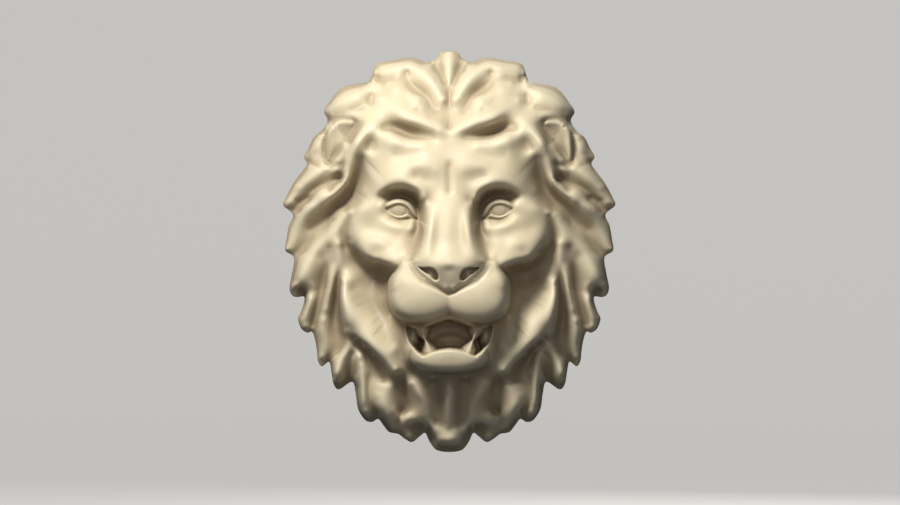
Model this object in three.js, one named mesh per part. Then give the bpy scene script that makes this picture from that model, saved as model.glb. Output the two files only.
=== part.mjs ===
// A lion's head in high relief, cast in one body, made to hang flat against a wall.
// X points right, Z points up, the face looks toward -Y and the flat back lies on y = 0.
// The origin is the middle of the back.
import * as THREE from "three";

// Driving sizes, in millimetres
const plaqueHeight = 300;
const plaqueWidth = 248;
const reliefDepth = 91;
const rimDepth = 13.2;
const rimDraft = 1.6;

// The carving keeps its own proportions. It is drawn in parts: 400 parts are the full height,
// 331 the full width, and about 122 the full depth from the wall to the front of the nose.
const partsTall = 400;
const partsWide = 331;
const partsDeep = 121.68;
const partHigh = plaqueHeight / partsTall;
const partWide = plaqueWidth / partsWide;
const partDeep = reliefDepth / partsDeep;
const rimLevel = rimDepth / partDeep;

// How rounded the surface runs over a carving line, in parts
const crisp = 1.7;
const firm = 3;
const soft = 6;
const broad = 10;

// Spacing of the places where the sheet is pinned to a carving line, in parts
const pinStep = 4;
const rimStep = 6;

// How finely the body is faceted
const outlineStep = 8;
const outerRings = 24;
const innerRings = 10;
const innerShare = 0.27;
const ovalHalfWidth = 152;
const ovalHalfHeight = 186;
const facetReach = 2.4;
const facetSamples = 6;

const line = (name, softness, ...path) => ({ name, softness, path });

// The outline of one half, from the crown down to the beard: every tuft is drawn from the notch
// above it, over its belly, to its tip.
const tufts = [
  { name: "crown", path: [[0, 200], [8, 199], [13, 192.5]] },
  { name: "top lock", path: [[22, 189], [36, 193.5], [56, 190.7], [72, 187], [77.5, 175]] },
  { name: "upper side lock", path: [[82, 169], [100, 166], [110, 161], [119, 150], [125, 139.5]] },
  { name: "lock behind the ear", path: [[121.5, 131], [126, 122], [135, 114], [140, 104], [145, 94.5]] },
  { name: "upper cheek lock", path: [[142, 88], [146, 81], [155, 69], [163, 54], [165.5, 46]] },
  { name: "middle cheek lock", path: [[156, 37], [160, 26], [162.5, 12], [163.5, 1]] },
  { name: "lower cheek lock", path: [[155, -6], [157, -22], [159.5, -36], [157, -43.5], [152, -45.5]] },
  { name: "hooked lock", path: [[145, -45], [145, -51], [148, -60], [151, -67], [147.5, -77], [141.5, -81]] },
  { name: "long lock", path: [[137, -80], [134, -88], [132, -100], [131, -109], [127, -114.5]] },
  { name: "jaw lock", path: [[120, -110], [117.5, -121], [115.5, -132], [110, -137.5]] },
  { name: "back beard lock", path: [[97, -130], [93.5, -141], [91, -157], [84, -168], [77, -170]] },
  { name: "side beard lock", path: [[71, -167], [66, -173], [60, -180], [51, -182]] },
  { name: "front beard lock", path: [[44, -187], [37, -190]] },
  { name: "beard tip", path: [[29, -184], [24, -181], [20, -189], [14, -197], [7, -199.5], [0, -200]] },
];

// The carving lines of one half: crests and hollows, each place given as
// [parts from the middle line, parts above the centre, parts forward of the wall].
const carvingLines = [
  line("tuft ridge", firm, [0, 200, 21.2], [0, 188, 32], [0, 176, 42], [0, 168, 46]),
  line("parting", crisp, [0, 165, 47], [0, 150, 56], [0, 135, 66], [0, 121, 76]),
  line("profile", broad,
    [0, 116, 82], [0, 100, 87], [0, 85, 92], [0, 62, 96], [0, 42, 103], [0, 22, 109.5],
    [0, 10, 113], [0, 2, 117], [0, -6, 120.5]),
  line("bridge side", broad,
    [12, 54, 95], [12, 38, 101.3], [13, 22, 107.5], [15, 8, 111.8], [17, -3, 116.5]),
  line("philtrum", soft, [0, -48, 101], [0, -58, 96]),
  line("nose wing", crisp,
    [33, -8.5, 108], [32, -15, 109], [27.5, -21.5, 109.5], [20, -27.5, 110.5], [12, -32, 111],
    [4, -36.5, 110.5]),
  line("nose top edge", crisp, [0, -12.5, 122], [14, -12.6, 120.8], [24, -12.8, 117], [30, -12, 112]),
  line("nose front", soft, [0, -18, 120], [0, -25, 118], [4, -32, 114.5]),
  line("nose wing foot", firm,
    [38, -14, 102], [35.5, -20, 103], [30, -26, 104.5], [22, -31.5, 105.5], [12, -36, 105.5],
    [3, -41, 103.5]),
  line("beard ridge", firm, [0, -130, 66], [0, -143, 64], [0, -158, 55], [0, -172, 44]),
  line("tuft edge", crisp, [17, 189, 21.2], [12, 181, 26.6], [7, 173, 38], [3, 167, 44]),
  line("parting ridge", firm, [18.5, 182, 34], [13.5, 171, 47.5], [9, 160, 56.5], [5.5, 150, 61]),
  line("crown lock", firm, [30, 186, 34], [24, 177, 45], [18, 166, 54], [12, 155, 59.5]),
  line("top crest", crisp, [75, 178, 23.9], [66, 181.5, 30], [52, 183.5, 36], [40, 184, 38]),
  line("top hollow", soft, [74, 174.5, 23.9], [66, 174, 34], [54, 173, 40]),
  line("top diagonal", crisp, [40, 178, 38], [37, 170, 43], [30, 164, 48], [21, 157, 54], [14, 147, 60]),
  line("under crest", crisp,
    [76, 171, 25.7], [70, 168.5, 34], [61, 166.5, 44], [53, 160, 53], [46, 149, 62], [41, 137, 72]),
  line("crown crease", firm, [48, 163, 49], [38, 158, 53], [29, 152, 58], [24, 148, 61]),
  line("crown lump", soft, [38, 150, 65], [34, 140, 72]),
  line("crown notch", crisp, [21, 148, 60], [22, 141, 65], [25, 133.5, 71]),
  line("fringe hollow", firm, [72, 162, 40], [60, 158, 49], [51, 148, 59], [45, 138, 67]),
  line("fringe edge", crisp,
    [76, 157, 44], [63, 150, 60], [51, 141, 70], [42, 131, 78], [30, 128, 81], [18, 121.5, 82],
    [6, 119.5, 80]),
  line("under fringe", crisp,
    [67, 121, 69], [59, 127, 65], [48, 124, 64], [34, 118.5, 69], [20, 116.5, 75], [8, 115.5, 79]),
  line("forehead edge", soft, [64, 114, 77], [52, 116, 77], [40, 112, 80], [24, 109, 85]),
  line("forehead", soft, [30, 98, 88], [58, 96, 82]),
  line("temple dimple", firm, [77, 110, 66], [76, 103, 65], [73, 98, 68]),
  line("side top", soft,
    [82, 161, 40], [94, 158, 41], [106, 152.5, 38.5], [114, 147.5, 33.5], [119.5, 143, 27.5]),
  line("side lower edge", crisp,
    [82, 147, 49], [92, 143, 48], [104, 142, 44], [113, 141, 37.5], [119.5, 139.5, 29]),
  line("side under", firm,
    [82, 137, 53], [92, 135, 46], [104, 134, 38], [112, 134, 29], [117, 134, 24.3]),
  line("ear shadow", firm,
    [100, 132.5, 40], [110, 131.5, 34], [118, 127, 27.5], [123.5, 118, 24], [125.5, 108, 22.8],
    [125, 98, 23.8], [123.5, 91, 27]),
  line("ear root", crisp,
    [95, 125.5, 44.5], [99, 118, 43], [103, 111, 41.5], [107, 104.5, 40], [111.5, 98.5, 38.5],
    [117, 92, 37], [121, 88, 36.5]),
  line("ear hair", firm,
    [91, 122, 56], [95.5, 114, 57], [99.5, 106, 56], [103.5, 99, 54], [108, 92.5, 51],
    [113, 87, 47.5], [120, 82, 43.5]),
  line("temple lock", crisp,
    [73, 124, 70], [84, 116, 72], [93, 107, 70], [98, 92, 66], [101, 78, 62], [106, 66, 60],
    [114, 58, 56], [123, 49, 50]),
  line("lock 1", soft,
    [126.5, 118.5, 24.5], [131, 111, 25.5], [135, 104, 25.2], [137, 97.5, 24], [133, 91, 27]),
  line("lock 2", soft, [124, 84, 41], [132, 81, 39], [141, 75, 35], [152, 65, 28]),
  line("lock 2 edge", firm,
    [114, 86, 43], [122, 78.5, 41], [134, 69.5, 36], [147, 59, 29], [159, 48.5, 24.8]),
  line("hollow A", crisp,
    [107, 77, 41], [106, 72, 37], [114, 68, 35], [128, 65, 31], [142, 56, 25.7], [151, 51, 23.4]),
  line("lock 3", firm,
    [116, 64, 50], [125, 61, 49], [133, 51, 45], [144, 43, 36], [153, 27, 28], [162.5, 2, 20.7]),
  line("notch 2", firm, [140, 52, 28], [148, 46, 23.9], [155, 37, 19.8]),
  line("hollow B", firm,
    [86, 92, 64], [89, 78, 54], [93, 66, 47], [101, 56, 43], [113, 44, 38], [122, 30, 34],
    [138, 22, 28]),
  line("lock 4", soft,
    [84, 63, 63], [90, 50, 61], [103, 36, 58], [114, 24, 53], [125, 12, 47.5], [136, 1, 42],
    [145, -9, 37.5], [150.5, -21, 34.5], [153.5, -34, 31]),
  line("hollow C", crisp, [121, 27, 37], [131, 18, 35], [141, 8, 28], [153, -4, 19.8]),
  line("lock 4 face", soft, [128, -6, 43], [133, -20, 40], [136.5, -33, 36.5]),
  line("hook pit", crisp, [149.5, -38, 23], [146, -41.5, 20]),
  line("hollow D", crisp,
    [117, 8, 51], [119.5, -6, 46], [122.5, -20, 38], [124, -33, 33], [127.5, -45, 29.5],
    [130.5, -56, 26]),
  line("lock 5", firm, [139, -46, 33], [142, -57, 30.5], [144, -66, 28.5], [143, -75, 25]),
  line("slit", crisp, [133.5, -63, 23.5], [136, -73, 20.5]),
  line("lock 6", soft,
    [113.5, -12, 50], [115.5, -26, 48.5], [117.5, -38, 46], [119.5, -48, 42.5], [123, -57, 39.5]),
  line("lock 6 lower", firm, [126.5, -68, 36], [128.5, -79, 32], [126.5, -93, 28.5], [127.5, -105, 25]),
  line("hollow E", firm,
    [109, 8, 56], [109.5, -14, 51], [110, -30, 43], [111.5, -60, 33], [109.5, -75, 32],
    [106.5, -87, 33], [108.5, -97, 31.5], [113.5, -103, 28], [119, -106, 21.5]),
  line("lock 7 edge", crisp,
    [104.5, -28, 57.5], [106.5, -44, 58], [105.5, -58, 58.5], [101.5, -71, 59], [94, -79, 61],
    [84, -89, 63.5], [73, -99, 65.5], [61, -109, 66], [53, -117, 65]),
  line("lock 8", firm,
    [101.5, -79, 52], [98.5, -88, 47], [101, -96.5, 43], [107, -104, 39.5], [112, -111, 36.5],
    [114.5, -120, 32], [113.5, -129, 26]),
  line("lock 7", soft,
    [96, -38, 57.5], [90, -50, 58.5], [81, -61, 60], [72, -71, 61.5], [63, -83, 64], [54, -94, 67]),
  line("under lock 7", crisp,
    [93, -89.5, 47], [87, -95, 43], [80, -105, 41], [72, -117, 41], [66, -127, 43]),
  line("hollow F", firm, [94, -97, 43], [97, -108, 36], [98, -119, 29], [99.5, -127, 22]),
  line("lock 9", soft, [88, -103, 49], [87, -118, 47], [86, -134, 43.5], [86, -148, 39], [84, -160, 32]),
  line("seam 9", crisp, [79, -120, 42], [80.5, -134, 40], [80, -147, 36], [76, -158, 29], [72, -165, 23]),
  line("lock 10", firm, [66, -131, 47], [73, -141, 46], [73, -152, 42], [68, -163, 35], [60, -174, 28]),
  line("lock 10 edge", firm, [57, -131, 52], [56, -142, 48], [53, -158, 41], [50, -171, 30]),
  line("hollow G", soft, [48, -132, 42], [45, -145, 37], [48, -158, 30]),
  line("lock 11", firm, [38, -158, 39], [44, -166, 37], [46, -176, 27], [39.5, -184, 23.9]),
  line("beard side", crisp, [38, -130, 57], [30, -140, 57], [24, -150, 52], [21, -161, 45]),
  line("beard groove", firm, [15, -128, 56], [12, -144, 50], [11, -158, 43], [12, -170, 36]),
  line("arch rim", crisp,
    [40, -172, 33], [34, -168.5, 37], [26, -167.5, 39], [19, -171, 38], [15.5, -179, 33],
    [14, -187, 25.7]),
  line("arch web", firm, [33, -176, 26.1], [26, -174, 27], [21, -178, 24.8]),
  line("knob", soft, [0, -175, 42], [7, -179, 40], [10, -187, 34], [6, -194, 26.6], [0, -195, 26.1]),
  line("knob front", soft, [0, -184, 42], [0, -188, 40]),
  line("brow", firm,
    [25.5, 52, 93], [29, 59, 94.5], [36, 63.5, 94.5], [45, 65, 92], [55, 64, 88.5], [65, 60, 83.5],
    [74, 55, 78.5]),
  line("brow hollow", soft, [33, 74, 92.6], [22, 71, 92.8]),
  line("upper brow", soft, [14, 80, 95], [28, 83, 94.5], [44, 81, 92]),
  line("bridge edge", soft,
    [22.5, 50, 92], [22.5, 37, 95.5], [23.5, 22, 100.5], [25, 9, 106], [27, -3, 112]),
  line("nose side", firm,
    [28.5, 39, 74], [28.5, 28, 76], [29.5, 18, 81], [33, 6, 90], [36.5, -4, 97], [38.5, -12, 101]),
  line("socket", firm,
    [66, 53.5, 77], [57, 55, 74], [47, 55.5, 72.5], [39, 53.5, 72], [33, 48, 71.5], [30, 42, 72]),
  line("eye bag", firm, [37, 22.5, 83], [49, 25.5, 84.5], [60, 28.5, 83.5], [68, 33, 81.5]),
  line("eye bag groove", crisp,
    [36, 30, 77], [43, 29.5, 77.3], [50, 29.5, 77.6], [57, 32, 77.8], [63, 37.5, 78.3]),
  line("cheekbone", firm,
    [66, 46, 80.5], [75, 47.5, 79.5], [84, 44, 76.5], [92, 36, 71.5], [96.5, 26, 67.5],
    [98.5, 17, 64]),
  line("cheek", soft, [60, 5, 90.5], [70, 8, 85.5], [67, -1, 86.5]),
  line("cheek dip", soft, [46, 15, 87], [57, 17, 85], [68, 20, 82]),
  line("cheek edge", firm,
    [92, 22, 73.5], [90.5, 12, 75], [85.5, 2.5, 77.5], [79, -3, 80.5], [70, -6, 84], [64.5, -9, 88],
    [61.5, -14, 91]),
  line("cheek foot", firm,
    [98, 8, 60], [95.5, -1, 54], [90, -8, 50], [83, -13, 48], [76, -15.5, 48.5], [69, -17.5, 51],
    [65, -23, 53], [63.5, -33, 54], [63.5, -43, 55], [61, -53, 58], [55, -63, 63], [49, -74, 68]),
  line("cheek hollow", soft, [90, -24, 46], [82, -40, 45], [73, -56, 48], [63, -70, 55]),
  line("cheek crease", firm, [94, 46, 65.5], [99, 37, 62], [102, 27, 59], [103.5, 16, 55], [101, 4, 51]),
  line("muzzle top", broad, [43, -6, 99], [52, -14, 100]),
  line("muzzle", soft, [20, -45, 95], [34, -40, 95], [42, -50, 88]),
  line("upper lip", soft, [4, -68, 90], [20, -72, 88], [36, -73, 82]),
  line("lower lip", soft, [4, -100, 86], [24, -101, 85], [38, -96, 80]),
  line("chin", soft, [4, -109, 84], [24, -108, 82], [36, -104, 78]),
  line("under chin", crisp,
    [48.5, -84, 69], [48, -98, 65], [45.5, -110, 62], [34, -120, 59], [20, -123.5, 65],
    [0, -124.5, 68]),
];

// Closed edges of the eye, ear, nostril, nose and mouth, in parts
const eyeEdge = [
  [30.5, 31], [34.5, 33.5], [37, 38], [40.5, 43.3], [45, 46], [50, 47], [56, 45.5], [62, 42.3],
  [59.5, 39], [55, 36], [50, 34.6], [45, 35], [41, 36.3], [37.5, 34.5], [34, 32],
];
const earEdge = [
  [93.5, 128], [98, 129.7], [105, 130], [110, 129], [114.5, 126], [118.5, 121], [121, 115],
  [122, 108], [122.2, 100], [121.6, 93], [121, 88.5], [116, 91.5], [111, 97.5], [106.8, 103.5],
  [103, 110], [99, 117.5],
];
const rolledRimPlaces = 10;
const nostrilEdge = [
  [30, -15], [25, -15.4], [19, -15.3], [14.5, -17], [11.6, -20.5], [10.3, -24.5], [11, -27.5],
  [14, -28.2], [19, -24.8], [25, -20], [28.5, -17],
];
const upperNostrilPlaces = 7;
const noseEdge = [
  [-8, -38], [0, -41], [12, -35.8], [22, -31.3], [30, -25.8], [35.5, -19.5], [38.5, -12], [36, 0],
  [30, 20], [-8, 20],
];
const mouthEdge = [
  [-12, -67], [0, -65.5], [12, -69], [20, -72], [25, -74.3], [33, -74.5], [42, -72.8],
  [41.6, -82], [39.5, -89], [34, -96], [28, -101], [23.5, -102], [14, -98], [0, -96], [-12, -98],
];

// Rounded pads, in parts. With q being 1 on its rim, a pad falls by its fall times q squared and
// by its edge fall times q to the 8th. The shape is 2 for an ellipse, more for blunter corners.
const plainPad = { edgeFall: 0, shape: 2 };
const lipPad = {
  middle: [30, -43], outerReach: 32.5, innerReach: 46, rise: 31.5, level: 112.5, fall: 14,
  edgeFall: 42, shape: 2.2, openTop: -28,
};
const jawPad = {
  middle: [0, -97.5], outerReach: 42.5, innerReach: 42.5, rise: 24, level: 97, fall: 9,
  edgeFall: 28, shape: 2.6,
};
const tonguePad = {
  ...plainPad, middle: [0, -92], outerReach: 19, innerReach: 19, rise: 12, level: 62, fall: 10,
};
const cheekPad = {
  ...plainPad, middle: [36, -84], outerReach: 8, innerReach: 8, rise: 16, level: 74, fall: 20,
};
const padEnd = 1.35;
const farBelow = -100;

// The fangs: [parts from the middle line, parts above the centre, half width, level of the crown]
const fangs = [
  [[28, -72, 5.8, 87], [26, -79, 3.4, 89], [23.5, -87, 0.9, 88]],
  [[18.5, -100, 6, 90], [21, -92.5, 3.4, 90], [23, -86.5, 0.9, 89]],
];
const fangRoundness = 7;

// Eye: the ball, and its lids from the lower to the upper one, in parts
const eyeMiddle = [48, 45];
const ballLevel = 79.5;
const ballFall = 0.02;
const lidWidth = [1.6, 3];
const lidRise = [2.4, 3.4];

// Ear: the shell in front of its middle, its lean, its rolled rim and its dish, in parts
const earMiddle = [108, 118];
const earLevel = 44;
const earLean = 0.2;
const earRoll = 1.4;
const earDish = 2.4;

// Depths of the cuts, in parts
const mouthFloor = 52;
const mouthWall = 4;
const nostrilDepth = 9;
const nostrilShallow = 3.5;
const nostrilWall = 2.4;
const noseCrease = 5;
const frownDepth = 2.6;
const frownHalfWidth = 3.6;

// A smooth curve through the given places
function curveThrough(places, stepsPerSpan) {
  const last = places.length - 1;
  const mixOf = (a, b, from, to) => a.map((value, k) => value * from + b[k] * to);
  const before = mixOf(places[0], places[1], 2, -1);
  const after = mixOf(places[last], places[last - 1], 2, -1);
  const all = [before, ...places, after];
  const curve = [];
  for (let span = 0; span < last; span += 1) {
    const [a, b, c, d] = all.slice(span, span + 4);
    for (let step = 0; step < stepsPerSpan; step += 1) {
      const t = step / stepsPerSpan;
      curve.push(b.map((value, k) => {
        const slope = c[k] - a[k];
        const bend = 2 * a[k] - 5 * value + 4 * c[k] - d[k];
        const twist = 3 * value - a[k] - 3 * c[k] + d[k];
        return 0.5 * (2 * value + slope * t + bend * t * t + twist * t * t * t);
      }));
    }
  }
  curve.push(places[last]);
  return curve;
}

// The same curve cut into equal lengths close to the wanted one
function evenPlaces(places, wanted) {
  const fine = curveThrough(places, 24);
  const travelled = [0];
  for (let k = 1; k < fine.length; k += 1) {
    const run = Math.hypot(fine[k][0] - fine[k - 1][0], fine[k][1] - fine[k - 1][1]);
    travelled.push(travelled[k - 1] + run);
  }
  const total = travelled[travelled.length - 1];
  const count = Math.max(1, Math.round(total / wanted));
  const even = [];
  let at = 0;
  for (let k = 0; k <= count; k += 1) {
    const goal = (total * k) / count;
    while (at < fine.length - 2 && travelled[at + 1] < goal) {
      at += 1;
    }
    const share = (goal - travelled[at]) / (travelled[at + 1] - travelled[at]);
    even.push(fine[at].map((value, axis) => value + (fine[at + 1][axis] - value) * share));
  }
  return even;
}

// Distance from a place to a polyline
function distanceTo(path, x, z) {
  let nearest = Infinity;
  for (let k = 1; k < path.length; k += 1) {
    const [ax, az] = path[k - 1];
    const runX = path[k][0] - ax;
    const runZ = path[k][1] - az;
    const reach = runX * runX + runZ * runZ;
    const share = Math.min(1, Math.max(0, ((x - ax) * runX + (z - az) * runZ) / reach));
    nearest = Math.min(nearest, Math.hypot(x - ax - share * runX, z - az - share * runZ));
  }
  return nearest;
}

// Distance into a closed edge, negative outside it
function depthInside(edge, x, z) {
  let inside = false;
  for (let k = 1; k < edge.length; k += 1) {
    const [ax, az] = edge[k - 1];
    const [bx, bz] = edge[k];
    if ((az > z) !== (bz > z) && x < ((bx - ax) * (z - az)) / (bz - az) + ax) {
      inside = !inside;
    }
  }
  const distance = distanceTo(edge, x, z);
  return inside ? distance : -distance;
}

const closedEdge = (places) => curveThrough([...places, places[0]], 4);
const ease = (value) => {
  const t = Math.min(1, Math.max(0, value));
  return t * t * (3 - 2 * t);
};

// Level of a rounded pad, far below everything well outside it
function padLevel(pad, x, z) {
  const off = x - pad.middle[0];
  const across = Math.abs(off / (off < 0 ? pad.innerReach : pad.outerReach)) ** pad.shape;
  const up = Math.abs((z - pad.middle[1]) / pad.rise) ** pad.shape;
  const q = (across + up) ** (1 / pad.shape);
  if (q > padEnd) {
    return farBelow;
  }
  let edge = pad.edgeFall * q ** 8;
  if (pad.openTop !== undefined) {
    edge *= Math.max(ease((pad.openTop - z) / 12), ease((x - 48) / 8));
  }
  return pad.level - pad.fall * q ** 2 - edge;
}

// The higher of two levels with the crease between them eased over
function blendHigher(a, b, width) {
  const share = Math.min(1, Math.max(0, 0.5 + (0.5 * (a - b)) / width));
  return b * (1 - share) + a * share + width * share * (1 - share);
}

// Level of a fang: a round bar that narrows from its root to its tip
function fangLevel(curve, x, z) {
  let nearest = Infinity;
  let level = farBelow;
  for (const [curveX, curveZ, half, crown] of curve) {
    const away = Math.hypot(x - curveX, z - curveZ);
    if (away < nearest) {
      nearest = away;
      level = crown - fangRoundness * Math.min(away / half, 4) ** 2;
    }
  }
  return level;
}

// The pull of one pin and of its mirror image on a place
function pull(pin, x, z) {
  const up = z - pin.z;
  const round = up * up + pin.softness * pin.softness;
  const near = x - pin.x;
  const far = x + pin.x;
  return Math.sqrt(near * near + round) + Math.sqrt(far * far + round);
}

// Pins: evenly spaced places on every carving line and on the outline
function setPins(outline) {
  const pins = [];
  const add = (x, z, level, softness) => {
    if (pins.every((pin) => Math.hypot(pin.x - x, pin.z - z) > 0.9)) {
      pins.push({ x, z, level, softness });
    }
  };
  for (const { path, softness } of carvingLines) {
    for (const [x, z, level] of evenPlaces(path, pinStep)) {
      add(x, z, level, softness);
    }
  }
  for (const [x, z] of evenPlaces(outline, rimStep)) {
    add(x, z, rimLevel, 2);
  }
  return pins;
}

// Solves the square system rows * weights = goals by elimination
function solve(rows, goals) {
  const size = goals.length;
  for (let column = 0; column < size; column += 1) {
    let best = column;
    for (let row = column + 1; row < size; row += 1) {
      if (Math.abs(rows[row][column]) > Math.abs(rows[best][column])) {
        best = row;
      }
    }
    [rows[column], rows[best]] = [rows[best], rows[column]];
    [goals[column], goals[best]] = [goals[best], goals[column]];
    const pivotRow = rows[column];
    for (let row = column + 1; row < size; row += 1) {
      const target = rows[row];
      const factor = target[column] / pivotRow[column];
      for (let k = column + 1; k < size; k += 1) {
        target[k] -= factor * pivotRow[k];
      }
      goals[row] -= factor * goals[column];
    }
  }
  const weights = new Float64Array(size);
  for (let row = size - 1; row >= 0; row -= 1) {
    let rest = goals[row];
    for (let k = row + 1; k < size; k += 1) {
      rest -= rows[row][k] * weights[k];
    }
    weights[row] = rest / rows[row][row];
  }
  return weights;
}

// A smooth sheet stretched over all pins: the level at a place is the weighted sum of the pulls
// of all pins plus a plain tilt, with the weights chosen so the sheet meets every pin.
function stretchSheet(pins) {
  const size = pins.length + 2;
  const rows = pins.map((at) => {
    const row = new Float64Array(size);
    pins.forEach((pin, k) => {
      row[k] = pull(pin, at.x, at.z);
    });
    row[size - 2] = 1;
    row[size - 1] = at.z / 100;
    return row;
  });
  const evenRow = new Float64Array(size);
  const tiltRow = new Float64Array(size);
  pins.forEach((pin, k) => {
    evenRow[k] = 1;
    tiltRow[k] = pin.z / 100;
  });
  rows.push(evenRow, tiltRow);
  const goals = [...pins.map((pin) => pin.level), 0, 0];
  const weights = solve(rows, goals);
  return (x, z) => {
    let level = weights[size - 2] + (weights[size - 1] * z) / 100;
    pins.forEach((pin, k) => {
      level += weights[k] * pull(pin, x, z);
    });
    return level;
  };
}

// The two pads of the upper lip stand forward of the sheet and pass in a crease under the nose
function addLip(level, nose, x, z) {
  const depth = depthInside(nose, x, z);
  if (depth > 3) {
    return level;
  }
  const rounded = Math.sqrt(x * x + 6);
  const crease = noseCrease * ease((-8 - z) / 14) * ease((depth + 3.5) / 4);
  const width = 2.5 + 5 * ease((z + 38) / 16);
  return blendHigher(level, padLevel(lipPad, rounded, z) - crease, width);
}

// The eyeball lies behind two lids that follow its round
function addEye(level, eye, x, z) {
  const depth = depthInside(eye, x, z);
  if (depth < -12) {
    return level;
  }
  const ball = ballLevel - ballFall * ((x - eyeMiddle[0]) ** 2 + 1.3 * (z - eyeMiddle[1]) ** 2);
  const upper = ease((z - 38 - (x - eyeMiddle[0]) * 0.3) / 4 + 0.5);
  const width = lidWidth[0] + (lidWidth[1] - lidWidth[0]) * upper;
  const rise = lidRise[0] + (lidRise[1] - lidRise[0]) * upper;
  const lid = ball + rise - 0.7 * Math.max(0, -depth - width) ** 2;
  const lids = blendHigher(level, lid, 1);
  return lids + (ball - lids) * ease(depth / 1.2 + 0.5);
}

// The ear is a shell that leans back, dished behind its rolled outer rim
function addEar(level, ear, rolledRim, x, z) {
  const depth = depthInside(ear, x, z);
  if (depth < -2) {
    return level;
  }
  const toRim = distanceTo(rolledRim, x, z);
  const shell = earLevel - earLean * (x - earMiddle[0]) - 0.008 * (z - earMiddle[1]) ** 2;
  const roll = earRoll * Math.exp(-(((toRim - 1.2) / 1.3) ** 2));
  const dish = earDish * ease((toRim - 1) / 7);
  return level + (shell + roll - dish - level) * ease(depth / 2.2 + 0.5);
}

// The nostril is deepest at its lower edge
function cutNostril(level, nostril, upperEdge, x, z) {
  const depth = depthInside(nostril, x, z);
  const shallower = (nostrilDepth - nostrilShallow) * ease(distanceTo(upperEdge, x, z) / 9);
  return level - (nostrilDepth - shallower) * ease((depth + 0.6) / nostrilWall);
}

// The open mouth: a tongue and the cheeks lie in its floor, four fangs stand at its edges
function openMouth(level, mouth, fangCurves, x, z) {
  const depth = depthInside(mouth, x, z);
  if (depth < -0.6) {
    return level;
  }
  let floor = blendHigher(mouthFloor, padLevel(tonguePad, x, z), 2);
  floor = blendHigher(floor, padLevel(cheekPad, x, z), 2);
  const open = level + (floor - level) * ease((depth + 0.6) / mouthWall);
  return Math.max(open, ...fangCurves.map((curve) => fangLevel(curve, x, z)));
}

// The finished relief: the sheet with the lips and the jaw on it and the eyes, ears, frown,
// nostrils and mouth cut into it
function carve(sheet) {
  const eye = closedEdge(eyeEdge);
  const ear = closedEdge(earEdge);
  const rolledRim = curveThrough(earEdge.slice(0, rolledRimPlaces), 4);
  const nostril = closedEdge(nostrilEdge);
  const upperNostril = curveThrough(nostrilEdge.slice(0, upperNostrilPlaces), 4);
  const nose = closedEdge(noseEdge);
  const mouth = closedEdge(mouthEdge);
  const fangCurves = fangs.map((fang) => curveThrough(fang, 12));
  return (signedX, z) => {
    const x = Math.abs(signedX);
    let level = addLip(sheet(x, z), nose, x, z);
    level = blendHigher(level, padLevel(jawPad, x, z), 1.5);
    level = addEye(level, eye, x, z);
    level = addEar(level, ear, rolledRim, x, z);
    const frownRun = ease((z - 52) / 8) * ease((92 - z) / 10);
    level -= frownDepth * Math.exp(-((x / frownHalfWidth) ** 2)) * frownRun;
    level = cutNostril(level, nostril, upperNostril, x, z);
    return openMouth(level, mouth, fangCurves, x, z);
  };
}

// Level of the carving averaged over the reach of a facet, so that thin edges turn into slopes
// wide enough to be held by the facets
function facetLevel(carving, x, z) {
  let total = carving(x, z);
  for (let k = 0; k < facetSamples; k += 1) {
    const angle = (2 * Math.PI * k) / facetSamples;
    total += carving(x + facetReach * Math.cos(angle), z + facetReach * Math.sin(angle));
  }
  return total / (facetSamples + 1);
}

// The outline of one half as facet corners: each drawn span in steps of about the wanted length
function outlineCorners(drawn) {
  const perSpan = 12;
  const curve = curveThrough(drawn, perSpan);
  const corners = [];
  for (let span = 0; span < drawn.length - 1; span += 1) {
    const run = Math.hypot(drawn[span + 1][0] - drawn[span][0], drawn[span + 1][1] - drawn[span][1]);
    const steps = Math.max(1, Math.round(run / outlineStep));
    for (let step = 0; step < steps; step += 1) {
      corners.push(curve[span * perSpan + Math.round((perSpan * step) / steps)]);
    }
  }
  corners.push(drawn[drawn.length - 1]);
  return corners;
}

// The spokes of the whole round, clockwise from the crown as seen from the front
function outlineSpokes(corners) {
  const mirrored = corners.slice(1, -1).reverse().map(([x, z]) => [-x, z]);
  return [...corners, ...mirrored].map(([x, z]) => {
    const radius = Math.hypot(x, z);
    const right = x / radius;
    const up = z / radius;
    const oval = 1 / Math.hypot(right / ovalHalfWidth, up / ovalHalfHeight);
    return { right, up, radius, oval };
  });
}

// Corner of a ring: a share of the way out along a spoke, from an oval near the middle to the
// outline itself at the rim
function ringPlace(spoke, share) {
  const reach = share * (spoke.oval + (spoke.radius - spoke.oval) * share ** 4);
  return [spoke.right * reach, spoke.up * reach];
}

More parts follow.
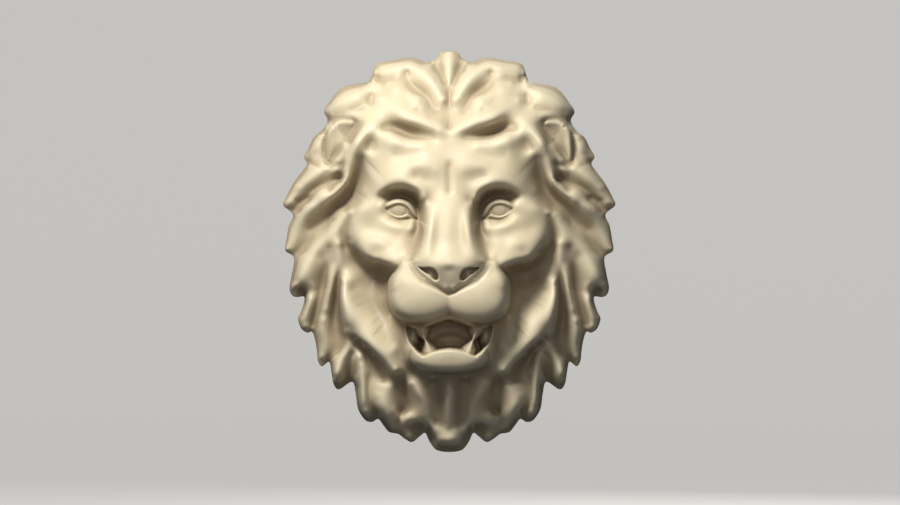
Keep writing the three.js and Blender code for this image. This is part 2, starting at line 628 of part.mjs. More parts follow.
// The whole closed body
function buildBody() {
  const drawn = tufts.flatMap((tuft) => tuft.path);
  const carving = carve(stretchSheet(setPins(drawn)));
  const relief = (x, z) => facetLevel(carving, x, z);
  const spokes = outlineSpokes(outlineCorners(drawn));
  const corners = [];
  const faces = [];
  const addCorner = (x, z, level) => {
    corners.push([x, z, level]);
    return corners.length - 1;
  };
  const addPlace = ([x, z]) => addCorner(x, z, relief(x, z));

  // Two facets of a four-cornered field, parted along the diagonal that lies closer to the relief
  const addField = (a, b, c, d) => {
    const middle = [0, 1].map((k) => (corners[a][k] + corners[b][k] + corners[c][k] + corners[d][k]) / 4);
    const wanted = relief(middle[0], middle[1]);
    const missAc = Math.abs((corners[a][2] + corners[c][2]) / 2 - wanted);
    const missBd = Math.abs((corners[b][2] + corners[d][2]) / 2 - wanted);
    if (missAc < missBd) {
      faces.push([a, b, c], [a, c, d]);
    } else {
      faces.push([a, b, d], [b, c, d]);
    }
  };

  const middle = addPlace([0, 0]);
  const halfSpokes = spokes.filter((spoke, k) => k % 2 === 0);
  let ring = halfSpokes.map((spoke) => addPlace(ringPlace(spoke, innerShare / innerRings)));
  ring.forEach((corner, k) => faces.push([middle, ring[(k + 1) % ring.length], corner]));
  for (let k = 2; k <= innerRings; k += 1) {
    const next = halfSpokes.map((spoke) => addPlace(ringPlace(spoke, (innerShare * k) / innerRings)));
    for (let s = 0; s < ring.length; s += 1) {
      const after = (s + 1) % ring.length;
      addField(ring[s], ring[after], next[after], next[s]);
    }
    ring = next;
  }

  // From the coarser inner ring to the full count of spokes
  const shareOf = (k) => innerShare + ((1 - innerShare) * k) / outerRings;
  let outer = spokes.map((spoke) => addPlace(ringPlace(spoke, shareOf(1))));
  for (let s = 0; s < ring.length; s += 1) {
    const after = (s + 1) % ring.length;
    const between = 2 * s + 1;
    const beyond = (2 * s + 2) % outer.length;
    faces.push([ring[s], outer[between], outer[2 * s]]);
    faces.push([ring[s], ring[after], outer[between]]);
    faces.push([ring[after], outer[beyond], outer[between]]);
  }

  // The outer rings, the last one being the rim
  for (let k = 2; k <= outerRings; k += 1) {
    const isRim = k === outerRings;
    const next = spokes.map((spoke) => {
      const [x, z] = ringPlace(spoke, shareOf(k));
      return addCorner(x, z, isRim ? rimLevel : relief(x, z));
    });
    for (let s = 0; s < outer.length; s += 1) {
      const after = (s + 1) % outer.length;
      addField(outer[s], outer[after], next[after], next[s]);
    }
    outer = next;
  }

  // The side of the rim, drawn in toward the wall, and the flat back
  const foot = spokes.map(({ right, up, radius }) => {
    const reach = radius - rimDraft / partHigh;
    return addCorner(right * reach, up * reach, 0);
  });
  const backMiddle = addCorner(0, 0, 0);
  for (let s = 0; s < outer.length; s += 1) {
    const after = (s + 1) % outer.length;
    faces.push([outer[s], outer[after], foot[after]], [outer[s], foot[after], foot[s]]);
    faces.push([backMiddle, foot[s], foot[after]]);
  }
  return { corners, faces };
}

function bodyGeometry() {
  const { corners, faces } = buildBody();
  const places = corners.flatMap(([x, z, level]) => [x * partWide, -level * partDeep, z * partHigh]);
  const geometry = new THREE.BufferGeometry();
  geometry.setAttribute("position", new THREE.Float32BufferAttribute(places, 3));
  geometry.setIndex(faces.flat());
  geometry.computeVertexNormals();
  return geometry;
}

const castMaterial = new THREE.MeshStandardMaterial({ color: 0xe6dcc0, roughness: 0.6, metalness: 0 });
castMaterial.name = "cast_stone";

const plaque = new THREE.Group();
plaque.name = "lion_relief_plaque";
const body = new THREE.Mesh(bodyGeometry(), castMaterial);
body.name = "lion_relief";
plaque.add(body);

export default plaque;
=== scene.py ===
"""Looks of the lion relief plaque: one cast body with fine carving, its cream stone colour with painted
shade in hollows and painted highlights on crests, a pale studio and the camera. Metres, Z up, the face
looks toward -Y, the flat back is on y = 0.
"""
import logging
import math
from dataclasses import dataclass, field
from enum import Enum

import bpy
import numpy as np
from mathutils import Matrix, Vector


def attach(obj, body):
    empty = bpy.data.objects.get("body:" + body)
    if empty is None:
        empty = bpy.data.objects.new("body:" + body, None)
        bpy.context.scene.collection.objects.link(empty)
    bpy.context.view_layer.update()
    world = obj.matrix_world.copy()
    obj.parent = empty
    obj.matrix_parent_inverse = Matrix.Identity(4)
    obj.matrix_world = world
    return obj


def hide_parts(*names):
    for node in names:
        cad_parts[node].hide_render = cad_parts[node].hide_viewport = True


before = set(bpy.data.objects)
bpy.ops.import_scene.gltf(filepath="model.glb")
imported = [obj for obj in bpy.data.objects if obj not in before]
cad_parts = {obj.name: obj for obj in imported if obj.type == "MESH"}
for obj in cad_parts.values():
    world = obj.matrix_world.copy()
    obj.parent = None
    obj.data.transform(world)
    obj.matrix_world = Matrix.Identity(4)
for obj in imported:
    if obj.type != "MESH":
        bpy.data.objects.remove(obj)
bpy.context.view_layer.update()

log = logging.getLogger("lion_plaque")

Place = tuple[float, float]
Pin = tuple[float, float, float]
Colour = tuple[float, float, float]
Run = tuple[float, float]

# Steps along a span of a fine curve, a length too short to matter, and a level below all others
FINE_STEPS = 24
TINY = 1e-9
FAR_BELOW = -100.0


class Softness(Enum):
    """How rounded the surface runs over a carving line, in parts of the drawing."""

    CRISP = 1.7
    FIRM = 3.0
    SOFT = 6.0
    BROAD = 10.0


@dataclass(frozen=True)
class CarvingLine:
    """A crest or a hollow of one half of the head.

    Each place is (parts from the middle line, parts above the centre, parts off the wall).
    """

    name: str
    softness: Softness
    path: tuple[Pin, ...]


@dataclass(frozen=True)
class Tuft:
    """A stretch of the outline of one half, from the notch above a tuft to its tip."""

    name: str
    path: tuple[Place, ...]


CRISP = Softness.CRISP
FIRM = Softness.FIRM
SOFT = Softness.SOFT
BROAD = Softness.BROAD

# The outline of one half, from the crown down to the beard, in parts
TUFTS = (
    Tuft("crown", ((0, 200), (8, 199), (13, 192.5))),
    Tuft("top lock", ((22, 189), (36, 193.5), (56, 190.7), (72, 187), (77.5, 175))),
    Tuft("upper side lock", ((82, 169), (100, 166), (110, 161), (119, 150), (125, 139.5))),
    Tuft("lock behind the ear", ((121.5, 131), (126, 122), (135, 114), (140, 104), (145, 94.5))),
    Tuft("upper cheek lock", ((142, 88), (146, 81), (155, 69), (163, 54), (165.5, 46))),
    Tuft("middle cheek lock", ((156, 37), (160, 26), (162.5, 12), (163.5, 1))),
    Tuft("lower cheek lock", ((155, -6), (157, -22), (159.5, -36), (157, -43.5), (152, -45.5))),
    Tuft("hooked lock", ((145, -45), (145, -51), (148, -60), (151, -67), (147.5, -77), (141.5, -81))),
    Tuft("long lock", ((137, -80), (134, -88), (132, -100), (131, -109), (127, -114.5))),
    Tuft("jaw lock", ((120, -110), (117.5, -121), (115.5, -132), (110, -137.5))),
    Tuft("back beard lock", ((97, -130), (93.5, -141), (91, -157), (84, -168), (77, -170))),
    Tuft("side beard lock", ((71, -167), (66, -173), (60, -180), (51, -182))),
    Tuft("front beard lock", ((44, -187), (37, -190))),
    Tuft("beard tip", ((29, -184), (24, -181), (20, -189), (14, -197), (7, -199.5), (0, -200))),
)

# The carving of one half, in parts: each line's name, its softness and its places
DRAWN_LINES = (
    ("tuft ridge", FIRM, (0, 200, 21.2), (0, 188, 32), (0, 176, 42), (0, 168, 46)),
    ("parting", CRISP, (0, 165, 47), (0, 150, 56), (0, 135, 66), (0, 121, 76)),
    ("profile", BROAD, (0, 116, 82), (0, 100, 87), (0, 85, 92), (0, 62, 96), (0, 42, 103), (0, 22, 109.5),
     (0, 10, 113), (0, 2, 117), (0, -6, 120.5)),
    ("bridge side", SOFT, (12, 54, 96.5), (12, 38, 103.4), (12.5, 22, 109), (13.5, 8, 113.2),
     (15, -3, 118)),
    ("philtrum", SOFT, (0, -48, 101), (0, -58, 96)),
    ("nose wing", CRISP, (33, -8.5, 108), (32, -15, 109), (27.5, -21.5, 109.5), (20, -27.5, 110.5),
     (12, -32, 111), (4, -36.5, 110.5)),
    ("nose top edge", CRISP, (0, -12.5, 122), (14, -12.6, 120.8), (24, -12.8, 117), (30, -12, 112)),
    ("nose front", SOFT, (0, -18.5, 118.6), (0, -25, 116.2), (4, -32, 113)),
    ("nose wing foot", FIRM, (38, -14, 102), (35.5, -20, 103), (30, -26, 104.5), (22, -31.5, 105.5),
     (12, -36, 105.5), (3, -41, 103.5)),
    ("beard ridge", FIRM, (0, -130, 66), (0, -143, 64), (0, -158, 55), (0, -172, 44)),
    ("tuft edge", CRISP, (17, 189, 21.2), (12, 181, 26.6), (7, 173, 38), (3, 167, 44)),
    ("parting ridge", SOFT, (20, 183, 33), (14, 173, 46), (9, 164, 54)),
    ("crown lock", FIRM, (34, 183, 39), (25.5, 174, 50), (17, 165.5, 57.5), (10.5, 157.5, 61.5),
     (4.5, 149.5, 64)),
    ("top crest", CRISP, (75, 178, 23.9), (66, 181.5, 30), (52, 183.5, 36), (40, 184, 38)),
    ("top hollow", SOFT, (74, 174.5, 23.9), (66, 174, 34), (54, 173, 40)),
    ("top diagonal", CRISP, (41.5, 178, 37), (41, 170, 41), (36, 162, 44.5), (29, 156, 50),
     (22, 151, 55.5), (18, 143, 61), (14, 136, 67.5)),
    ("under crest", SOFT, (77, 171, 25.7), (70, 168.5, 34.5), (61, 165.5, 44), (52, 160, 52.5)),
    ("crown lump", SOFT, (31, 151, 64), (42, 153, 59.5), (38, 141, 71), (27, 141, 71)),
    ("fringe hollow", SOFT, (72, 161, 42), (64, 156, 50.5)),
    ("side pocket", FIRM, (77, 154.5, 41.5), (77.5, 148, 45)),
    ("fringe edge", CRISP, (69, 149, 54), (62, 145, 60.5), (56, 139.5, 66.5), (50.5, 133.5, 72),
     (45, 129.5, 76), (38, 127, 79), (28, 125, 81.5), (18, 121.5, 83.5), (9, 118.5, 84.5)),
    ("under fringe", FIRM, (64, 121.5, 64.5), (58, 121.5, 61.5), (52, 120, 61), (45, 116.5, 64),
     (36, 113.5, 69), (26, 112.5, 75), (16, 113.5, 80.5)),
    ("forehead edge", SOFT, (66, 115, 73.5), (58, 115.5, 74.5), (50, 112.5, 77), (40, 108.5, 80),
     (28, 106.5, 84)),
    ("forehead", SOFT, (30, 98, 88), (58, 96, 82)),
    ("temple dimple", SOFT, (76, 109, 67.5), (78, 103, 66), (80, 97, 68)),
    ("side top", SOFT, (82, 161, 40), (94, 158, 41), (106, 152.5, 38.5), (114, 147.5, 33.5),
     (119.5, 143, 27.5)),
    ("side lower edge", CRISP, (82, 144.5, 49), (92, 141, 48), (104, 140, 44), (113, 139, 37.5),
     (119.5, 138.5, 29)),
    ("side under", FIRM, (84, 135, 56), (93, 134.5, 51), (104, 134.5, 44), (112, 134.5, 37.5),
     (118, 135, 30)),
    ("ear shadow", FIRM, (118.5, 125.5, 31), (122.5, 118, 30.5), (124.3, 108, 30), (124, 98, 30.5),
     (123, 91, 32)),
    ("ear root", CRISP, (95, 125.5, 46), (99, 118, 45.5), (103, 111, 44.5), (107, 104.5, 42.5),
     (111.5, 98.5, 40.5), (117, 92, 38), (121, 88, 36)),
    ("ear hair", FIRM, (90, 123, 55), (93.5, 115, 55), (97.5, 107, 54.5), (102, 100, 54), (107, 93.5, 53),
     (111, 89, 51)),
    ("temple lock", CRISP, (73, 124, 70), (84, 116, 72), (93, 107, 70), (98, 92, 66), (101, 78, 62),
     (106, 66, 60), (114, 58, 56), (123, 49, 50)),
    ("lock 1", SOFT, (129, 115, 27), (132.5, 108.5, 28), (135, 102, 27.5), (135, 95.5, 27),
     (132, 89, 30)),
    ("lock 2", SOFT, (124, 84, 43), (132, 81, 40), (141, 75, 35.5), (152, 65, 28.5)),
    ("lock 2 edge", FIRM, (114, 85, 46.5), (122, 78, 44), (134, 69.5, 39), (147, 59, 31),
     (159, 48.5, 24.8)),
    ("ear foot", SOFT, (109, 86, 51), (115, 80.5, 48)),
    ("hollow A", CRISP, (108, 76, 46), (107.5, 72, 43), (115, 68, 41), (128, 64.5, 36), (142, 56.5, 28.5),
     (151, 51, 24)),
    ("lock 3", FIRM, (117, 61, 48.5), (126, 58, 47.5), (134, 50, 43.5), (144, 42, 36.5), (153, 27, 28),
     (162.5, 2, 20.7)),
    ("notch 2", FIRM, (140, 52, 28), (148, 46, 23.9), (155, 37, 19.8)),
    ("hollow B", FIRM, (86, 92, 64), (89, 78, 54), (93, 66, 47), (101, 56, 43), (113, 44, 38),
     (122, 30, 34), (138, 22, 28)),
    ("lock 4", SOFT, (84, 63, 63), (90, 50, 61), (103, 36, 58), (114, 24, 53), (125, 12, 47.5),
     (136, 1, 42), (145, -9, 37.5), (150.5, -21, 34.5), (153.5, -34, 31)),
    ("hollow C", CRISP, (121, 27, 37), (131, 18, 35), (141, 8, 28), (153, -4, 19.8)),
    ("lock 4 face", SOFT, (128, -6, 43), (133, -20, 40), (136.5, -33, 36.5)),
    ("hook pit", CRISP, (149.5, -38, 23), (146, -41.5, 20)),
    ("hollow D", CRISP, (119, 4, 49), (120.5, -8, 45), (122.5, -20, 38), (124, -33, 33),
     (127.5, -45, 29.5), (130.5, -55, 26.5), (133.5, -64, 23.5), (136, -73, 20.5)),
    ("lock 5", FIRM, (139, -46, 33), (142, -57, 30.5), (144, -66, 28.5), (143, -75, 25)),
    ("lock 6", SOFT, (113.5, -12, 50), (115.5, -26, 48.5), (117.5, -38, 46), (119.5, -48, 42.5),
     (123, -57, 39.5)),
    ("lock 6 lower", FIRM, (126.5, -68, 36), (128.5, -79, 32), (126.5, -93, 28.5), (127.5, -105, 25)),
    ("hollow E", FIRM, (109, 8, 56), (109.5, -14, 51), (110, -30, 43), (111.5, -60, 33), (109.5, -75, 32),
     (106.5, -87, 33), (108.5, -97, 31.5), (113.5, -103, 28), (119, -106, 21.5)),
    ("lock 7 edge", CRISP, (104.5, -28, 57.5), (106.5, -44, 58), (105.5, -58, 58.5), (101.5, -71, 59),
     (94, -79, 61), (84, -89, 63.5), (73, -99, 65.5), (61, -109, 66), (53, -117, 65)),
    ("lock 8", FIRM, (101.5, -79, 52), (98.5, -88, 47), (101, -96.5, 43), (107, -104, 39.5),
     (112, -111, 36.5), (114.5, -120, 32), (113.5, -129, 26)),
    ("lock 7", SOFT, (96, -38, 56.5), (89.5, -50, 58), (80.5, -61, 59.5), (71.5, -71, 61.5),
     (63, -83, 64), (54, -94, 67)),
    ("under lock 7", CRISP, (93, -89.5, 47), (87, -95, 43), (80, -105, 41), (72, -117, 41),
     (66, -127, 43)),
    ("hollow F", FIRM, (94, -97, 43), (97, -108, 36), (98, -119, 29), (99.5, -127, 22)),
    ("lock 9", SOFT, (88, -103, 49), (87, -118, 47), (86, -134, 43.5), (86, -148, 39), (84, -160, 32)),
    ("seam 9", CRISP, (79, -120, 42), (80.5, -134, 40), (80, -147, 36), (76, -158, 29), (72, -165, 23)),
    ("lock 10", SOFT, (67, -132, 47.5), (70.5, -142, 46.5), (70, -153, 43), (65, -164, 36),
     (58.5, -174, 28.5)),
    ("lock 10 edge", FIRM, (56.5, -133, 49), (55, -143, 45), (52, -158, 38.5), (50, -171, 29.5)),
    ("hollow G", SOFT, (48, -132, 42), (45, -145, 37), (48, -158, 30)),
    ("lock 11", FIRM, (38, -158, 39), (44, -166, 37), (46, -176, 27), (39.5, -184, 23.9)),
    ("beard side", CRISP, (38, -130, 57), (30, -140, 57), (24, -150, 52), (21, -161, 45)),
    ("beard groove", FIRM, (15, -128, 56), (12, -144, 50), (11, -158, 43), (12, -170, 36)),
    ("arch rim", CRISP, (40, -172, 33), (34, -168.5, 37), (26, -167.5, 39), (19, -171, 38),
     (15.5, -179, 33), (14, -187, 25.7)),
    ("arch web", FIRM, (33, -176, 26.1), (26, -174, 27), (21, -178, 24.8)),
    ("knob", SOFT, (0, -175, 42), (7, -179, 40), (10, -187, 34), (6, -194, 26.6), (0, -195, 26.1)),
    ("knob front", SOFT, (0, -184, 42), (0, -188, 40)),
    ("brow", FIRM, (25.5, 52, 93), (29, 59, 94.5), (36, 63.5, 94.5), (45, 65, 92), (55, 64, 88.5),
     (65, 60, 83.5), (74, 55, 78.5)),
    ("brow hollow", SOFT, (33, 74, 92.6), (22, 71, 92.8)),
    ("upper brow", SOFT, (14, 80, 95), (28, 83, 94.5), (44, 81, 92)),
    ("bridge edge", SOFT, (21, 50, 92.5), (21, 37, 98), (22.5, 22, 103.5), (25, 9, 107.5), (28, -3, 112)),
    ("nose side", FIRM, (28.5, 39, 74), (28.5, 28, 76), (29.5, 18, 81), (33, 6, 90), (36.5, -4, 97),
     (38.5, -12, 101)),
    ("socket", FIRM, (66, 55, 77), (57, 57, 74), (47, 57.5, 72.5), (39, 55.5, 72), (33, 49.5, 71.5),
     (30, 43, 72)),
    ("eye bag", FIRM, (37, 23, 82), (49, 26, 83), (60, 29, 82.3), (68, 33, 80.8)),
    ("eye bag groove", CRISP, (36, 30, 77), (43, 29.5, 77.3), (50, 29.5, 77.6), (57, 32, 77.8),
     (63, 37.5, 78.3)),
    ("cheekbone", FIRM, (66, 46, 80.5), (75, 47.5, 79.5), (84, 44, 76.5), (92, 36, 71.5),
     (96.5, 26, 67.5), (98.5, 17, 64)),
    ("cheek", SOFT, (57, 5, 89), (67, 8, 88), (76, 9, 85.5)),
    ("cheek front", SOFT, (64, -1, 89.5), (73, -0.5, 86)),
    ("cheek dip", SOFT, (46, 14, 85), (57, 17, 84.5), (68, 20, 82.3), (79, 22, 78.8)),
    ("cheek edge", FIRM, (92, 22, 73.5), (90.5, 12, 75), (87, 2.5, 76.5), (81.5, -4.5, 78.5),
     (74, -8, 81), (67, -9.5, 84.5), (60, -12, 89), (54, -13.5, 93.5)),
    ("cheek foot", FIRM, (98, 8, 60), (95.5, -1, 54), (91, -8, 51), (85, -14, 49.5), (78, -17, 49.5),
     (71, -18, 51.5), (65, -19, 56.5), (61.5, -23, 60), (62, -30, 59), (64.5, -38, 57.5), (65, -46, 58.5),
     (62, -54, 60.5), (56, -63, 65), (50, -74, 69)),
    ("cheek hollow", SOFT, (89, -24, 49), (81, -40, 49.5), (72, -56, 53), (63, -69, 59)),
    ("cheek crease", FIRM, (94, 46, 65.5), (99, 37, 62), (102, 27, 59), (103.5, 16, 55), (101, 4, 51)),
    ("muzzle top", BROAD, (42, -6, 97), (48, -9, 97)),
    ("muzzle", SOFT, (20, -45, 95), (34, -40, 95), (42, -50, 88)),
    ("upper lip", SOFT, (4, -68, 90), (20, -72, 88), (36, -73, 82)),
    ("lower lip", SOFT, (4, -100, 86), (24, -101, 85), (38, -96, 80)),
    ("chin", SOFT, (4, -109, 84), (24, -108, 82), (36, -104, 78)),
    ("under chin", CRISP, (48.5, -84, 69), (48, -98, 65), (45.5, -110, 62), (34, -120, 59),
     (20, -123.5, 65), (0, -124.5, 68)),
)
CARVING = tuple(CarvingLine(name, softness, tuple(path)) for name, softness, *path in DRAWN_LINES)


def ease(value: np.ndarray) -> np.ndarray:
    """A smooth step: 3 t squared minus 2 t cubed, with t the value held between 0 and 1.

    Args:
        value: Numbers of any shape.

    Returns:
        Numbers from 0 to 1 of the same shape.
    """
    t = np.clip(value, 0.0, 1.0)
    return t * t * (3.0 - 2.0 * t)


def rise_over(value: np.ndarray, run: Run) -> np.ndarray:
    """A smooth step over a run: 0 at its start and 1 at its end, which may be the lower one.

    Args:
        value: Numbers of any shape.
        run: Where the step starts and where it ends.

    Returns:
        Numbers from 0 to 1 of the same shape.
    """
    start, end = run
    return ease((value - start) / (end - start))


def bell(off: np.ndarray, width: float) -> np.ndarray:
    """A bump of height 1 and the given half width: e to the minus (off / width) squared."""
    return np.exp(-((off / width) ** 2))


def blend_higher(a: np.ndarray, b: np.ndarray, width: np.ndarray | float) -> np.ndarray:
    """The higher of two levels, with the crease between them eased over the given width.

    Args:
        a: One level.
        b: The other level.
        width: Difference of level over which the two are mixed.

    Returns:
        b plus the share of a, plus width times share times (1 minus share).
    """
    share = np.clip(0.5 + 0.5 * (a - b) / width, 0.0, 1.0)
    return b * (1.0 - share) + a * share + width * share * (1.0 - share)


def curve_through(places: np.ndarray, steps: int) -> np.ndarray:
    """A smooth curve through the places, each span a cubic with slopes from its neighbours.

    Args:
        places: Rows of coordinates.
        steps: Steps along each span.

    Returns:
        Rows of the curve, the last place included.
    """
    rows = np.asarray(places, float)
    rows = np.vstack([2.0 * rows[0] - rows[1], rows, 2.0 * rows[-1] - rows[-2]])
    t = (np.arange(steps) / steps)[None, :, None]
    a, b, c, d = (rows[k : len(rows) - 3 + k, None, :] for k in range(4))
    bend = 2.0 * a - 5.0 * b + 4.0 * c - d
    twist = 3.0 * b - a - 3.0 * c + d
    spans = 0.5 * (2.0 * b + (c - a) * t + bend * t**2 + twist * t**3)
    return np.vstack([spans.reshape(-1, rows.shape[1]), rows[-2]])


def travelled(path: np.ndarray) -> np.ndarray:
    """Length of a path from its start to each of its rows, over its first two coordinates."""
    runs = np.hypot(np.diff(path[:, 0]), np.diff(path[:, 1]))
    return np.concatenate([[0.0], np.cumsum(runs)])


def even_places(places: np.ndarray, wanted: float) -> np.ndarray:
    """The smooth curve through the places, cut into equal lengths near the wanted one.

    Args:
        places: Rows of coordinates.
        wanted: The wanted length between two rows.

    Returns:
        Rows along the curve, both ends included.
    """
    fine = curve_through(places, FINE_STEPS)
    along = travelled(fine)
    count = max(1, round(along[-1] / wanted))
    goals = np.linspace(0.0, along[-1], count + 1)
    return np.stack([np.interp(goals, along, column) for column in fine.T], axis=1)


def distance_to(path: np.ndarray, x: np.ndarray, z: np.ndarray) -> np.ndarray:
    """Distance from places to the nearest point of a polyline.

    Args:
        path: Rows of corners.
        x: Places, across.
        z: Places, up.

    Returns:
        Distances in the shape of x.
    """
    start = path[:-1]
    run = path[1:] - start
    reach = np.maximum((run**2).sum(axis=1), TINY)
    off_x = x[..., None] - start[:, 0]
    off_z = z[..., None] - start[:, 1]
    share = np.clip((off_x * run[:, 0] + off_z * run[:, 1]) / reach, 0.0, 1.0)
    gap = np.hypot(off_x - share * run[:, 0], off_z - share * run[:, 1])
    return gap.min(axis=-1)


def depth_inside(edge: np.ndarray, x: np.ndarray, z: np.ndarray) -> np.ndarray:
    """Distance into a closed edge, negative outside it.

    Args:
        edge: Rows of corners, the first one again at the end.
        x: Places, across.
        z: Places, up.

    Returns:
        The distance to the edge, with its sign from how often a level line from the place
        crosses the edge.
    """
    ax, az = edge[:-1, 0], edge[:-1, 1]
    bx, bz = edge[1:, 0], edge[1:, 1]
    rise = np.where(bz == az, TINY, bz - az)
    crossing = (bx - ax) * (z[..., None] - az) / rise + ax
    passes = ((az > z[..., None]) != (bz > z[..., None])) & (x[..., None] < crossing)
    inside = passes.sum(axis=-1) % 2 == 1
    distance = distance_to(edge, x, z)
    return np.where(inside, distance, -distance)


@dataclass
class StretchedSheet:
    """A smooth sheet stretched over pins.

    The level at a place is the sum, over all pins, of a weight times the pull of the pin and of
    its mirror image, plus a plain tilt. A pull is the square root of the distance squared plus
    the pin's softness squared. The weights are solved so that the sheet meets every pin.
    """

    pins: np.ndarray
    tilt_run: float = 100.0
    block_size: int = 20000
    weights: np.ndarray = field(init=False)

    def __post_init__(self) -> None:
        """Solve for the weights of the pins and of the tilt."""
        count = len(self.pins)
        system = np.zeros((count + 2, count + 2))
        system[:count, :count] = self.pulls(self.pins[:, 0], self.pins[:, 1])
        system[:count, count] = 1.0
        system[count, :count] = 1.0
        system[:count, count + 1] = self.pins[:, 1] / self.tilt_run
        system[count + 1, :count] = self.pins[:, 1] / self.tilt_run
        goals = np.concatenate([self.pins[:, 2], [0.0, 0.0]])
        self.weights = np.linalg.solve(system, goals)

    def pulls(self, x: np.ndarray, z: np.ndarray) -> np.ndarray:
        """The pull of every pin, with its mirror image, on every place.

        Args:
            x: Places, across.
            z: Places, up.

        Returns:
            One row for each place, one column for each pin.
        """
        round_up = (z[:, None] - self.pins[:, 1]) ** 2 + self.pins[:, 3] ** 2
        near = np.sqrt((x[:, None] - self.pins[:, 0]) ** 2 + round_up)
        far = np.sqrt((x[:, None] + self.pins[:, 0]) ** 2 + round_up)
        return near + far

    def level(self, x: np.ndarray, z: np.ndarray) -> np.ndarray:
        """Level of the sheet at the places, worked out in blocks to save memory.

        Args:
            x: Places, across.
            z: Places, up.

        Returns:
            Levels in parts.
        """
        blocks = np.array_split(np.arange(len(x)), max(1, len(x) // self.block_size))
        pulled = [self.pulls(x[block], z[block]) @ self.weights[:-2] for block in blocks]
        return np.concatenate(pulled) + self.weights[-2] + self.weights[-1] * z / self.tilt_run


@dataclass(frozen=True)
class Pad:
    """A rounded pad: level minus fall times q squared minus edge fall times q to the 8th.

    q is 1 on its rim, and beyond it the pad falls by another outer fall times (q minus 1)
    squared. The shape number is 2 for an ellipse and more for blunter corners, and the upper
    shape is added to it over the upper half. Above an open top the edge doesn't fall, but for
    the side away from the middle line.
    """

    middle: Place
    reach: Place
    level: float
    fall: float
    edge_fall: float = 0.0
    shape: float = 2.0
    upper_shape: float = 0.0
    inner_reach: float | None = None
    open_top: Run | None = None
    closed_side: Run = (44.0, 60.0)
    upper_run: Run = (0.0, 14.0)
    outer_fall: float = 400.0
    end: float = 1.35
    furthest_q: float = 2.0

    def height(self, x: np.ndarray, z: np.ndarray) -> np.ndarray:
        """Level of the pad at the places.

        Args:
            x: Places, across.
            z: Places, up.

        Returns:
            Levels in parts, far below the sheet well outside the pad.
        """
        off = x - self.middle[0]
        across = self.reach[0]
        if self.inner_reach is not None:
            across = np.where(off < 0.0, self.inner_reach, self.reach[0])
        shape = self.shape + self.upper_shape * rise_over(z - self.middle[1], self.upper_run)
        width = np.abs(off / across) ** shape
        rise = np.abs((z - self.middle[1]) / self.reach[1]) ** shape
        q = np.minimum((width + rise) ** (1.0 / shape), self.furthest_q)
        edge = self.edge_fall * q**8
        if self.open_top is not None:
            edge = edge * np.maximum(rise_over(z, self.open_top), rise_over(x, self.closed_side))
        edge = edge + self.outer_fall * np.maximum(q - 1.0, 0.0) ** 2
        return np.where(q > self.end, FAR_BELOW, self.level - self.fall * q**2 - edge)


@dataclass(frozen=True)
class Fang:
    """A tooth: a round bar that narrows from its root to its tip along a bent line."""

    path: tuple[Place, Place, Place]
    half_widths: tuple[float, float, float]
    levels: tuple[float, float, float]
    roundness: float = 7.0
    steps: int = 12
    furthest_share: float = 4.0

    def height(self, x: np.ndarray, z: np.ndarray) -> np.ndarray:
        """Level at the places: the crown of the bar minus roundness times (away / half) squared.

        Past the furthest share of away / half the level falls no further.

        Args:
            x: Places, across.
            z: Places, up.

        Returns:
            Levels in parts, far below everything away from the tooth.
        """
        path = curve_through(np.array(self.path), self.steps)
        along = travelled(path) / travelled(path)[-1]
        gaps = np.hypot(x[..., None] - path[:, 0], z[..., None] - path[:, 1])
        share = along[gaps.argmin(axis=-1)]
        away = distance_to(path, x, z)
        half = np.interp(share, (0.0, 0.5, 1.0), self.half_widths)
        crown = np.interp(share, (0.0, 0.5, 1.0), self.levels)
        return crown - self.roundness * np.minimum(away / half, self.furthest_share) ** 2


